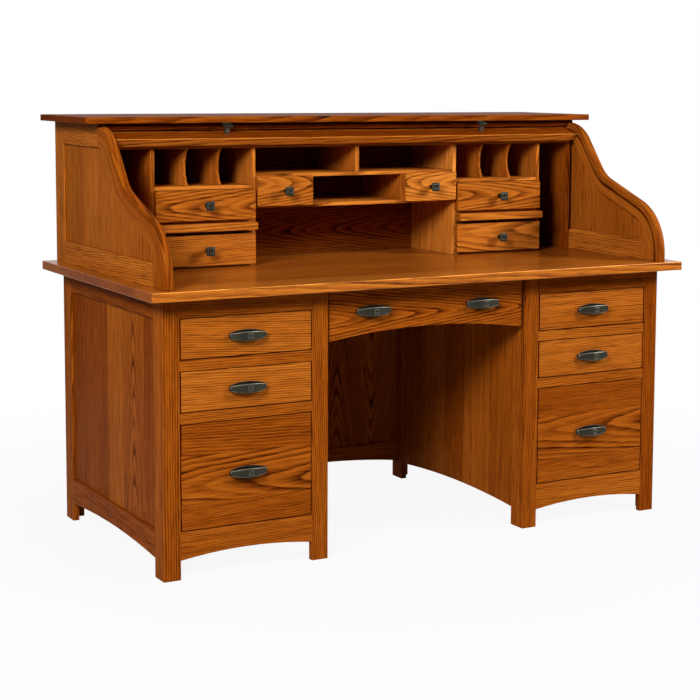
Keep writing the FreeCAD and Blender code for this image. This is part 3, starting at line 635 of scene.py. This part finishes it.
def curved_stiles():
    """The S-curved front stiles: a section carried along the S-curve.

    A section point is x across the board from its inner face and n in from the curve. The section has two
    rounded front edges of seven points each, the tambour's groove on the inner face and a chamfer towards
    the panel, and it is as deep as the stile is wide at that place. The grain bends with the curve.
    """
    points, angles, widths = s_curve()
    inner = points + inward(angles) * widths[:, None]
    chamfer = np.clip((inner[:, 1] - PANEL_FOOT) / INSIDE_CHAMFER, LEAST_CHAMFER_SHARE, 1)
    chamfer = INSIDE_CHAMFER * chamfer
    t = SIDE_THICKNESS
    turn = np.radians(np.linspace(0, 90, 7))
    round_x, round_n = EDGE_ROUND * (1 - np.cos(turn)), EDGE_ROUND * (1 - np.sin(turn))
    groove_n = GROOVE_SETBACK + np.array([-1, -1, 1, 1]) * GROOVE_HALF
    groove_x = GROOVE_DEPTH * np.array([0, 1, 1, 0])
    x = np.concatenate([[t], t - round_x, round_x[::-1], groove_x, [0, 0, t - HUTCH_EASE]])
    n = np.concatenate([[-HUTCH_EASE], round_n, round_n[::-1], groove_n, [0, 0, 0]])
    # Which section points lie at the stile's inner edge, and which the chamfer moves
    deep = np.concatenate([[1], np.zeros(18), [1, 1, 1]])
    cut_x = np.concatenate([np.zeros(20), [1, 0]])
    cut_n = np.concatenate([np.zeros(19), [-1, 0, 0]])
    # The groove's floor and walls carry a painted shadow
    groove_shades = [1, GROOVE_PAINTED_SHADOW, GROOVE_PAINTED_SHADOW, 1]
    shades = np.concatenate([[1], np.full(14, STILE_EDGE_SHADE), groove_shades, np.ones(3)])
    section_x = x + chamfer[:, None] * cut_x
    section_n = n + widths[:, None] * deep + chamfer[:, None] * cut_n
    across = points[:, None] + section_n[..., None] * inward(angles)[:, None]
    steps = np.linalg.norm(np.diff(points, axis=0), axis=1)
    length = np.concatenate([[0], np.cumsum(steps)])
    local = np.stack([np.broadcast_to(length[:, None], section_n.shape), section_n, section_x], axis=-1)
    timber = Timber("curved_stiles", 0.9)
    for side in (-1, 1):
        grid = np.concatenate([(side * (HUTCH_INSIDE + section_x))[..., None], across], axis=-1)
        shade = np.tile(shades[::side], len(points))
        timber.put(capped(grid[:, ::side]), local[:, ::side].reshape(-1, 3), "straight", shade=shade)
    return timber.finish()


def hutch_frames():
    """The straight rails and back stiles of the hutch sides, with the tambour's groove along them.

    Each is an outline carried along the board: a grooved one for a back stile and a top rail, and a
    chamfered one for a bottom rail.
    """
    timber = Timber("hutch_side_frames")
    track = CROWN_HEIGHT - GROOVE_SETBACK
    for group in islands("hutch_side_frames"):
        low, high = group.min(axis=0), group.max(axis=0)
        side = np.sign(low[0])
        face, out = side * HUTCH_INSIDE, side * (HUTCH_INSIDE + SIDE_THICKNESS)
        deep = face + side * GROOVE_DEPTH
        if high[2] - low[2] > high[1] - low[1]:
            along = 2
            near, far = TRACK_BACK - GROOVE_HALF, TRACK_BACK + GROOVE_HALF
            outline = [[face, low[1]], [face, near], [deep, near], [deep, far], [face, far], [face, high[1]],
                       [out, high[1]], [out, low[1]]]
        elif low[2] > PANEL_FOOT:
            along = 1
            near, far = track - GROOVE_HALF, track + GROOVE_HALF
            outline = [[low[2], face], [near, face], [near, deep], [far, deep], [far, face], [high[2], face],
                       [high[2], out], [low[2], out]]
        else:
            along = 1
            slant = face + side * INSIDE_CHAMFER
            outline = [[low[2], face], [high[2] - INSIDE_CHAMFER, face], [high[2], slant], [high[2], out],
                       [low[2], out]]
        timber.board(low, high, along, "straight", HUTCH_EASE, np.array(outline), along)
    return timber.finish()


# Tambour

def bar(timber, group, tongued=True):
    """A slat or rail across the desk: its section carried along X, with a tongue at each end.

    The section's corners are the points that reach furthest in some direction, because it is convex. The
    upper face has a painted shadow, the front painted light, and the arris between them a painted highlight.
    """
    ends = np.unique(np.round(group[:, 0] / SAME)) * SAME
    section = group[np.abs(group[:, 0] - ends[-2]) < SAME][:, 1:]
    section = section[np.unique(np.argmax(section @ heading(np.arange(0, 360, 3)).T, axis=0))]
    tongue = round_middle(face_outline(group, 0))
    parts = [plate(round_middle(section), ends[1], ends[-2], 0, SLAT_EASE)]
    if tongued:
        spans = ((ends[0], ends[1]), (ends[-2], ends[-1]))
        parts += [plate(tongue, *span, 0, TONGUE_EASE) for span in spans]
    shape = joined_up(parts)
    height = shape[0] @ np.array([0, -math.sin(LIFT_TILT), math.cos(LIFT_TILT)])
    ahead = shape[0] @ np.array([0, -math.cos(LIFT_TILT), -math.sin(LIFT_TILT)])
    # Painted shadow on the upper face, painted light on the front and a painted highlight along the arris
    shade = np.where(height > height.max() - SLAT_TOP_DEPTH, SLAT_TOP_PAINTED_SHADOW, SLAT_FRONT_PAINTED_LIGHT)
    arris = (height > height.max() - SLAT_ARRIS_DEPTH) & (ahead > ahead.max() - SLAT_ARRIS_DEPTH)
    shade = np.where(arris, SLAT_ARRIS_PAINTED_HIGHLIGHT, shade)
    timber.put(shape, laid(shape[0], AXES[0], AXES[1]), "straight", timber.rng.uniform(*SLAT_TONES), shade)


def tambour():
    """The lift rail and the slats. In the bends each slat goes with the straight run that it is nearest to.

    Slats that would pass between a straight run and a bend have no tongues, so that they have room.
    """
    for node in ("lift_rail", "top_run_slats", "rear_run_slats"):
        timber = Timber(node, 0.82)
        for group in islands(node):
            bar(timber, group)
        timber.finish()
    runs = ("tambour_lift", "tambour_top_run", "tambour_rear_run")
    shares = {body: Timber("bending_slats") for body in runs}
    for group in islands("bending_slats"):
        y, z = group[:, 1:].mean(axis=0)
        lead, follow = y < LIFT_SLATS_END, z < REAR_RUN_TOP
        body = "tambour_lift" if lead else "tambour_rear_run" if follow else "tambour_top_run"
        changing = CHANGEOVER[0] < y < CHANGEOVER[1] or (y > REAR_BEND and z > REAR_RUN_TOP)
        bar(shares[body], group, not changing)
    for body, timber in shares.items():
        timber.finish(name="seen_bending_slats_of_" + body, body=body)


# Hardware

def level(x, *steps):
    """A stepped height: each (place, width, rise) adds its rise smoothly where x passes the place."""
    return sum(rise * np.clip((x - place) / width + 0.5, 0, 1) for place, width, rise in steps)


# The pane motif, in shares of its size: the frame's outer and inner edge, the panes' inner and outer edge,
# the width of their slopes, and where the panes end
FRAME_OUTSIDE, FRAME_INSIDE, FRAME_SLOPE = 1.0, 0.74, 0.16
PANES_INSIDE, PANES_OUTSIDE, PANES_SLOPE = 0.14, 0.60, 0.10
PANES_END = 0.66


def motif(p, q, size):
    """Height of four small panes in a square frame, from the two distances along and up the face.

    The frame depends on the larger of the two distances, and the cross between the panes on the smaller.
    """
    along, up = np.abs(p) / size, np.abs(q) / size
    far, near = np.maximum(along, up), np.minimum(along, up)
    frame_height = level(far, (FRAME_OUTSIDE, FRAME_SLOPE, -1.0), (FRAME_INSIDE, FRAME_SLOPE, 1.0))
    cross = level(near, (PANES_INSIDE, PANES_SLOPE, 1.0))
    panes = cross + cross * level(far, (PANES_OUTSIDE, PANES_SLOPE, -1.0))
    return np.maximum(frame_height, np.where(far < PANES_END, panes, 0))


PULL_HALF, PULL_BOW, PULL_END = 52 * MM, 25 * MM, 9 * MM
PULL_MIDDLE, PULL_TIP = 12.2 * MM, 7 * MM
PLATE_MIDDLE, PLATE_TIP, PLATE_DEPTH, PLATE_EASE = 16 * MM, 7.4 * MM, 2.2 * MM, 0.6 * MM
STRAP_DEPTH, POST = 5 * MM, 6 * MM
PULL_MOTIF, PULL_RELIEF = 7.5 * MM, 0.9 * MM
RIM_PLACE, RIM_SLOPE = 1.9 * MM, 0.9 * MM
ROLL_DROP, ROLL_WIDTH = 1.2 * MM, 0.8 * MM
# Wear runs from dark patina at nought to rubbed metal at one. The upper rim's share also holds a painted
# highlight.
UPPER_RIM_WEAR_AND_HIGHLIGHT, LOWER_RIM_WEAR, PANE_WEAR, FACE_WEAR = 0.9, 0.5, 0.65, 0.33
PLATE_EDGE_WEAR, PLATE_WEAR = 0.55, 0.16


def bow_pull(centre):
    """A cast bow on a lens-shaped back plate.

    Along the pull u runs from -1 to 1. The bow's face stands out by the arc through its ends and middle, and
    its half height is tip + (middle - tip) * (1 - u^2). The section goes over the face, with a raised rim
    along both edges and the pane motif in the middle, and back behind the strap to the posts.
    """
    lengths = [np.linspace(-1, -0.2, 31), np.linspace(-0.19, 0.19, 43), np.linspace(0.2, 1, 31)]
    x = PULL_HALF * np.concatenate(lengths)
    u = x / PULL_HALF
    rise = PULL_BOW - PULL_END
    radius = (PULL_HALF ** 2 + rise ** 2) / (2 * rise)
    stand = PULL_BOW - radius + np.sqrt(radius ** 2 - x ** 2)
    half = PULL_TIP + (PULL_MIDDLE - PULL_TIP) * (1 - u ** 2)
    behind = np.where(np.abs(x) > PULL_HALF - POST, PLATE_DEPTH, stand - STRAP_DEPTH)
    edge_lines = np.array([0.80, 0.86, 0.90, 0.97, 1])
    v = np.concatenate([-edge_lines[::-1], np.linspace(-0.7, 0.7, 29), edge_lines])
    height = half[:, None] * v
    edge = np.minimum(half[:, None] * (1 - np.abs(v)), (PULL_HALF - np.abs(x))[:, None])
    rim = level(edge, (RIM_PLACE, RIM_SLOPE, -1.0)) + 1.0
    panes = motif(x[:, None], height, PULL_MOTIF)
    square = np.maximum(np.abs(x)[:, None], np.abs(height)) < PULL_MOTIF
    wear_and_sheen = np.where(square, PANE_WEAR * panes, FACE_WEAR)
    # The upper rim is brighter than the lower: wear, with a painted highlight on top of it
    wear_and_sheen = np.maximum(rim * np.where(height > 0, UPPER_RIM_WEAR_AND_HIGHLIGHT, LOWER_RIM_WEAR), wear_and_sheen)
    face = stand[:, None] + PULL_RELIEF * (np.maximum(rim, panes) - 1)
    face = face - ROLL_DROP * (1 - np.clip(edge / ROLL_WIDTH, 0, 1)) ** 2
    y = -np.concatenate([face, np.repeat(behind[:, None], 2, axis=1)], axis=1)
    z = np.concatenate([height, half[:, None], -half[:, None]], axis=1)
    wide = np.repeat(x[:, None], y.shape[1], axis=1)
    bow = capped(np.stack([wide, y, z], axis=-1)[:, ::-1])
    bow_relief = np.concatenate([wear_and_sheen, np.zeros((len(x), 2))], axis=1)[:, ::-1].ravel()
    s = np.linspace(-1, 1, 33)
    tall = PLATE_TIP + (PLATE_MIDDLE - PLATE_TIP) * (1 - s ** 2)
    upper, lower = (np.stack([edge_height, PULL_HALF * s], axis=1) for edge_height in (tall, -tall))
    back = plate(np.concatenate([upper, lower[::-1]]), -PLATE_DEPTH, 0, 1, PLATE_EASE)
    edge_ring = np.abs(back[0][:, 1] + PLATE_DEPTH / 2) < PLATE_DEPTH / 2 - NEARLY
    plate_relief = np.where(edge_ring, PLATE_EDGE_WEAR, PLATE_WEAR)
    points, faces = joined_up([bow, back])
    return points + centre, faces, np.concatenate([bow_relief, plate_relief])


KNOB_HALF, KNOB_UNDER, KNOB_STEM = 13 * MM, 10 * MM, 5.5 * MM
KNOB_NECK, KNOB_TOP = 20 * MM, 29 * MM
KNOB_RELIEF, KNOB_ROLL, KNOB_EDGE, KNOB_LIP = 1.1 * MM, 0.7 * MM, 2 * MM, 0.6 * MM
# Shares of the half width: where the border begins, its slope, where the edge rolls over, the motif's size
BORDER_PLACE, BORDER_SLOPE, KNOB_ROLL_START, KNOB_MOTIF = 0.79, 0.06, 0.93, 0.66
BORDER_WEAR, KNOB_FACE_WEAR, KNOB_PANE_WEAR, KNOB_EDGE_WEAR = 0.45, 0.08, 0.5, 0.5
# The lift knobs' side share is a painted highlight on their sides and stems
KNOB_SIDE_WEAR, LIFT_KNOB_SIDE_HIGHLIGHT = 0.2, 0.75


def square_knob(base, out, up, side_wear_and_sheen=KNOB_SIDE_WEAR):
    """A square cast knob.

    The face is a grid of p and q with a raised border, a sunk square and the pane motif. Its boundary is
    carried back in square rings over the edge, down the tapered sides, under the head and along the stem.
    """
    side = np.cross(up, out)
    line = np.array([-1, -0.965, -0.93, -0.82, -0.76, -0.62, -0.56, -0.45, -0.14, -0.08])
    line = np.concatenate([line, [0], -line[::-1]]) * KNOB_HALF
    p, q = np.meshgrid(line, line, indexing="ij")
    far = np.maximum(np.abs(p), np.abs(q)) / KNOB_HALF
    border = level(far, (BORDER_PLACE, BORDER_SLOPE, 1.0))
    raised = motif(p, q, KNOB_MOTIF * KNOB_HALF)
    rolled = np.clip((far - KNOB_ROLL_START) / (1 - KNOB_ROLL_START), 0, 1)
    top = KNOB_TOP - KNOB_RELIEF * (1 - np.maximum(border, raised)) - KNOB_ROLL * rolled ** 2
    count = len(line)
    index = np.arange(count * count).reshape(count, count)
    brink = np.concatenate([index[:-1, 0], index[-1, :-1], index[:0:-1, -1], index[0, :0:-1]])
    under, stem = KNOB_UNDER / KNOB_HALF, KNOB_STEM / KNOB_HALF
    rings = np.array([[1.0, KNOB_TOP - KNOB_EDGE], [under, KNOB_NECK + KNOB_LIP], [under - 0.05, KNOB_NECK],
                      [stem, KNOB_NECK], [stem, 0.0]])
    rim = np.stack([p.ravel()[brink], q.ravel()[brink]], axis=1)
    depth = np.broadcast_to(rings[:, 1:, None], (len(rings), len(rim), 1))
    skirt = np.concatenate([rings[:, :1, None] * rim[None], depth], axis=-1)
    local = np.vstack([np.stack([p, q, top], axis=-1).reshape(-1, 3), skirt.reshape(-1, 3)])
    below = index.size + np.arange(len(rings) * len(brink)).reshape(len(rings), -1)
    loops = np.vstack([brink[None], below])
    upper, lower = loops[:-1], loops[1:]
    walls = np.stack([upper, lower, np.roll(lower, -1, axis=1), np.roll(upper, -1, axis=1)], axis=-1)
    face = np.array(grid_faces(count, count, closed=False))
    faces = face[:, ::-1].tolist() + walls.reshape(-1, 4).tolist() + [below[-1][::-1].tolist()]
    face_wear = np.maximum(BORDER_WEAR * border, KNOB_FACE_WEAR + KNOB_PANE_WEAR * raised)
    # The sides are darker patina, and on the lift knobs a painted highlight
    skirt_wear = np.repeat([KNOB_EDGE_WEAR] + [side_wear_and_sheen] * (len(rings) - 1), len(brink))
    points = base + local[:, :1] * side + local[:, 1:2] * up + local[:, 2:] * out
    return points, faces, np.concatenate([face_wear.ravel(), skirt_wear])


def hardware():
    """Bow pulls on the base drawers and square knobs on the small drawers and the lift rail."""
    front = np.array([0.0, -1.0, 0.0])
    for node in sorted(name for name, slot in slot_of_node.items() if slot == "pewter"):
        parts = []
        for group in islands(node):
            middle = (group.min(axis=0) + group.max(axis=0)) / 2
            foot = np.array([middle[0], group[:, 1].max(), middle[2]])
            if "pull" in node:
                parts.append(bow_pull(foot))
            elif node == "lift_knobs":
                out = np.array([0, -math.sin(LIFT_TILT), math.cos(LIFT_TILT)])
                up = np.array([0, math.cos(LIFT_TILT), math.sin(LIFT_TILT)])
                foot = group[group @ out < (group @ out).min() + SLIVER].mean(axis=0)
                parts.append(square_knob(foot, out, up, LIFT_KNOB_SIDE_HIGHLIGHT))
            else:
                parts.append(square_knob(foot, front, AXES[2]))
        points, faces = joined_up([part[:2] for part in parts])
        relief = np.concatenate([part[2] for part in parts])
        new_piece("seen_" + node, points, faces, metal, body_of_node[node], [node],
                  {"relief": relief})


# The desk, from the floor up. Lists give shares of glued boards, and tones match boards to the photograph.

def dress_base():
    """Legs, rails, panels, runners and the writing surface."""
    plain_boards("face_stiles", along=2, ease=FRAME_EASE, tone=np.repeat([0.66, 0.66, 0.72, 0.5], 2))
    plain_boards("side_stiles", along=2, ease=FRAME_EASE, tone=0.68)
    plain_boards("outer_side_rails", along=1, ease=FRAME_EASE, tone=0.62)
    glued_panels("outer_side_panels", 2, [0.7, 1.35, 1.0, 1.45, 1.0],
                 ["straight", "arched", "straight", "straight", "straight"],
                 tones=[0.6, 0.66, 0.85, 0.6, 0.52])
    glued_panels("inner_side_panels", 2, [1.0, 1.2, 0.9, 1.1, 1.0], "straight", tone=0.8)
    # The 0.6 tone is painted shadow on the rail under the writing surface's overhang
    plain_boards("face_rails", along=0, ease=FRAME_EASE, tone=[0.85, 0.8, 0.8, 0.6] * 2)
    glued_panels("pedestal_backs", 2, [1, 1.2, 1])
    # The modesty panel's darker tone is painted shade at the back of the kneehole
    modesty = Timber("modesty_panel", 0.7)
    rail, panel = islands("modesty_panel")
    modesty.cut(rail, 0)
    modesty.strips(panel, 2, [1, 1.2, 0.9, 1.1, 1])
    modesty.finish()
    plain_boards("drawer_runners", along=1, material=pale)
    # The writing surface's front arris carries a painted highlight
    glued_panels("desk_top", 0, [1, 1.2, 0.9, 1.1, 1, 1.2, 0.9], "straight", SHOW_EASE, 0.9, rubbed, edge_highlight=1.9)


# Figure and tone of each small drawer
SMALL_DRAWERS = (
    ("left_lower", "straight", 0.96), ("left_upper", "arched", 0.98), ("left_centre", "arched", 1.08),
    ("right_lower", "bold", 1.2), ("right_upper", "arched", 1.05), ("right_centre", "arched", 1.32),
)


def dress_drawers():
    """Drawer fronts and boxes, the pull-out slides and the small drawers."""
    # Drawer fronts carry a painted shadow on their edges in the gaps
    for side in ("left", "right"):
        for name in ("upper", "middle"):
            plain_boards(f"{side}_{name}_drawer_front", along=0, ease=SHOW_EASE, tone=0.94, gap=GAP_PAINTED_SHADOW)
        # The deep fronts are toned darker than those above as painted shade, darker towards the floor
        glued_panels(f"{side}_deep_drawer_front", 0, [0.75, 1.35, 0.9], ["straight", "bold", "straight"],
                     SHOW_EASE, tones=[0.74, 0.70, 0.64], gap=GAP_PAINTED_SHADOW)
        for name in ("upper", "middle", "deep"):
            plain_boards(f"{side}_{name}_drawer_box", material=pale)
        plain_boards(side + "_pull_out_slide", along=0, tone=1.15)
    for node, figure, tone in SMALL_DRAWERS:
        plain_boards(node + "_small_drawer", figure, tone=tone)
    # The pencil drawer's darker tone is painted shadow under the writing surface's overhang
    plain_boards("pencil_drawer_front", "arched", along=0, ease=SHOW_EASE, tone=0.66, gap=GAP_PAINTED_SHADOW)
    plain_boards("pencil_drawer_box", material=pale)


def dress_hutch():
    """The hutch's lid, sides and back, and the organiser in it."""
    glued_panels("hutch_top", 0, [1, 1.2, 0.9], "straight", SHOW_EASE, tone=0.54)
    # The fascia's dark tone is painted shadow under the lid
    plain_boards("fascia", along=0, tone=0.3)
    curved_stiles()
    hutch_frames()
    glued_panels("hutch_side_panels", 2, [1.1, 0.9, 1.2, 1.0, 1.1], "straight", tone=0.8)
    glued_panels("hutch_back", 0, [1, 1.1, 0.9])
    # The organiser's front edges carry painted light, brighter than their shaded sides
    plain_boards("organiser_shelves", along=0, ease=THIN_EASE, edge_highlight=1.3)
    # The outermost uprights are toned darker as painted shade in the tall slots, and the lightest is painted
    # light on the recess's right upright
    plain_boards("organiser_uprights", along=2, ease=THIN_EASE, edge_highlight=1.35,
                 tone=[0.6, 0.7, 0.9, 0.9, 0.9, 0.9, 1.25, 0.8, 0.45])
    plain_boards("letter_dividers", along=2, ease=THIN_EASE, tone=0.9)
    # The organiser back's dark tone is painted shade deep in the pigeonholes and the recess
    glued_panels("organiser_back", 0, [1, 1.2, 1.1], tone=0.5)


# Camera, floor and light. The viewpoint comes from a fit to the desk's edges in the photograph: angles in
# radians, the focal length and the picture's optical centre in pixels, the place in metres.
YAW, PITCH, ROLL = 0.52131, 0.10631, -0.00636
FOCAL_PX, CENTRE_PX = 1691.25, (400.0, 260.0)
CAMERA_PLACE = (-2.38885, -4.36825, 1.29697)
SENSOR_WIDTH = 36.0

# Each lamp's place, size in metres and power in watts, and the point that all of them face
LAMP_TARGET = (0, 0, 0.65)
SIDE_LAMP_PLACES = {"left_softbox": (-3.19, -2.49, 2.62), "right_softbox": (3.19, -2.49, 2.62)}
SIDE_LAMP_SIZE, SIDE_LAMP_POWER = (1.2, 1.2), 195
BACK_LAMP_PLACE, BACK_LAMP_SIZE, BACK_LAMP_POWER = (0.3, 4.2, 0.9), (1.6, 1.2), 130

# The dim room's strength, the way to the backdrop with the cosines where it fades in, and the floor's half
# width, grey, and share of plain white near the desk and beyond
WHITE = (1, 1, 1, 1)
ROOM_LIGHT = 0.05
BACKDROP_WAY, BACKDROP_FADE = (0.56, 0.83, 0.0), (0.60, 0.80)
FLOOR_HALF, FLOOR_GREY = 2.4, 0.5
FLOOR_FADE, FLOOR_WHITE = (0.8, 2.2), (0.92, 1.0)


def place_by_axes(made, place, across, up, back):
    """Put an object at a place, turned so that its own axes lie along the three given ones."""
    turned = Matrix(np.stack([across, up, back], axis=1).tolist()).to_4x4()
    made.matrix_world = Matrix.Translation(place) @ turned


def set_camera():
    """The photograph's viewpoint: yaw from straight on, a slight look down, and a small roll."""
    forward = np.array([math.sin(YAW) * math.cos(PITCH), math.cos(YAW) * math.cos(PITCH), -math.sin(PITCH)])
    right = np.array([math.cos(YAW), -math.sin(YAW), 0.0])
    down = np.cross(forward, right)
    data = bpy.data.cameras.new("camera")
    data.sensor_width = SENSOR_WIDTH
    data.lens = FOCAL_PX * SENSOR_WIDTH / IMAGE_SIZE
    data.shift_x = (IMAGE_SIZE / 2 - CENTRE_PX[0]) / IMAGE_SIZE
    data.shift_y = (CENTRE_PX[1] - IMAGE_SIZE / 2) / IMAGE_SIZE
    camera = linked("camera", data)
    place_by_axes(camera, CAMERA_PLACE, math.cos(ROLL) * right + math.sin(ROLL) * down,
                  math.sin(ROLL) * right - math.cos(ROLL) * down, -forward)
    bpy.context.scene.camera = camera


def lamp(name, place, size, power, mirrored=True):
    """A soft lamp that faces the desk, hidden from the camera, and from reflections if not mirrored."""
    data = bpy.data.lights.new(name, "AREA")
    data.shape = "RECTANGLE"
    data.size, data.size_y = size
    data.energy = power
    made = linked(name, data)
    made.visible_camera = False
    made.visible_glossy = mirrored
    back = np.array(place) - np.array(LAMP_TARGET)
    back = back / np.linalg.norm(back)
    side = np.cross([0, 0, 1.0], back)
    side = side / np.linalg.norm(side)
    place_by_axes(made, place, side, np.cross(back, side), back)


def seen_directly(tree, backdrop=1.0):
    """One for a ray from the camera, the backdrop's share for a reflection or through glass, else nought."""
    path = add(tree, "ShaderNodeLightPath")
    either = add(tree, "ShaderNodeMath", {0: path["Is Glossy Ray"], 1: path["Is Transmission Ray"]},
                 operation="MAXIMUM")[0]
    either = add(tree, "ShaderNodeMath", {0: either, 1: backdrop}, operation="MULTIPLY")[0]
    return add(tree, "ShaderNodeMath", {0: path["Is Camera Ray"], 1: either}, operation="MAXIMUM")[0]


def set_studio():
    """A white floor and background with a faint shadow, and a broad soft lamp at each side and behind.

    Reflections see the white background where the backdrop stands, within about 45 degrees of straight
    behind the desk, and the dim room elsewhere.
    """
    scene = bpy.context.scene
    scene.view_settings.view_transform = "Standard"
    world = bpy.data.worlds.new("studio")
    scene.world = world
    world.use_nodes = True
    tree = world.node_tree
    tree.nodes.clear()
    dim = add(tree, "ShaderNodeBackground", {0: WHITE, 1: ROOM_LIGHT})[0]
    white = add(tree, "ShaderNodeBackground", {0: WHITE, 1: 1.0})[0]
    way = add(tree, "ShaderNodeTexCoord")["Generated"]
    behind = add(tree, "ShaderNodeVectorMath", {0: way, 1: BACKDROP_WAY}, operation="DOT_PRODUCT")["Value"]
    backdrop = add(tree, "ShaderNodeMapRange", {0: behind, 1: BACKDROP_FADE[0], 2: BACKDROP_FADE[1]})[0]
    mixed = add(tree, "ShaderNodeMixShader", {0: seen_directly(tree, backdrop), 1: dim, 2: white})[0]
    add(tree, "ShaderNodeOutputWorld", {0: mixed})

    # White paint that the camera sees as plain white, a little less near the desk, so that its shadow shows
    made, tree, shader = new_material("white_painted_floor")
    shader.inputs["Base Color"].default_value = (FLOOR_GREY, FLOOR_GREY, FLOOR_GREY, 1)
    shader.inputs["Roughness"].default_value = 0.9
    white = add(tree, "ShaderNodeEmission", {0: WHITE, 1: 1.0})[0]
    place = add(tree, "ShaderNodeTexCoord")["Object"]
    away = add(tree, "ShaderNodeVectorMath", {0: place}, operation="LENGTH")["Value"]
    share = add(tree, "ShaderNodeMapRange", {0: away, 1: FLOOR_FADE[0], 2: FLOOR_FADE[1], 3: FLOOR_WHITE[0],
                                             4: FLOOR_WHITE[1]})[0]
    share = add(tree, "ShaderNodeMath", {0: seen_directly(tree), 1: share}, operation="MULTIPLY")[0]
    mixed = add(tree, "ShaderNodeMixShader", {0: share, 1: shader.outputs[0], 2: white})[0]
    tree.links.new(mixed, tree.nodes["Material Output"].inputs[0])
    mesh = bpy.data.meshes.new("floor")
    corners = [(x * FLOOR_HALF, y * FLOOR_HALF, 0) for x, y in ((-1, -1), (1, -1), (1, 1), (-1, 1))]
    mesh.from_pydata(corners, [], [(0, 1, 2, 3)])
    mesh.materials.append(made)
    floor = linked("floor", mesh)

    for name, place in SIDE_LAMP_PLACES.items():
        lamp(name, place, SIDE_LAMP_SIZE, SIDE_LAMP_POWER)
    lamp("back_softbox", BACK_LAMP_PLACE, BACK_LAMP_SIZE, BACK_LAMP_POWER, mirrored=False)


dress_base()
dress_drawers()
dress_hutch()
tambour()
hardware()
set_camera()
set_studio()
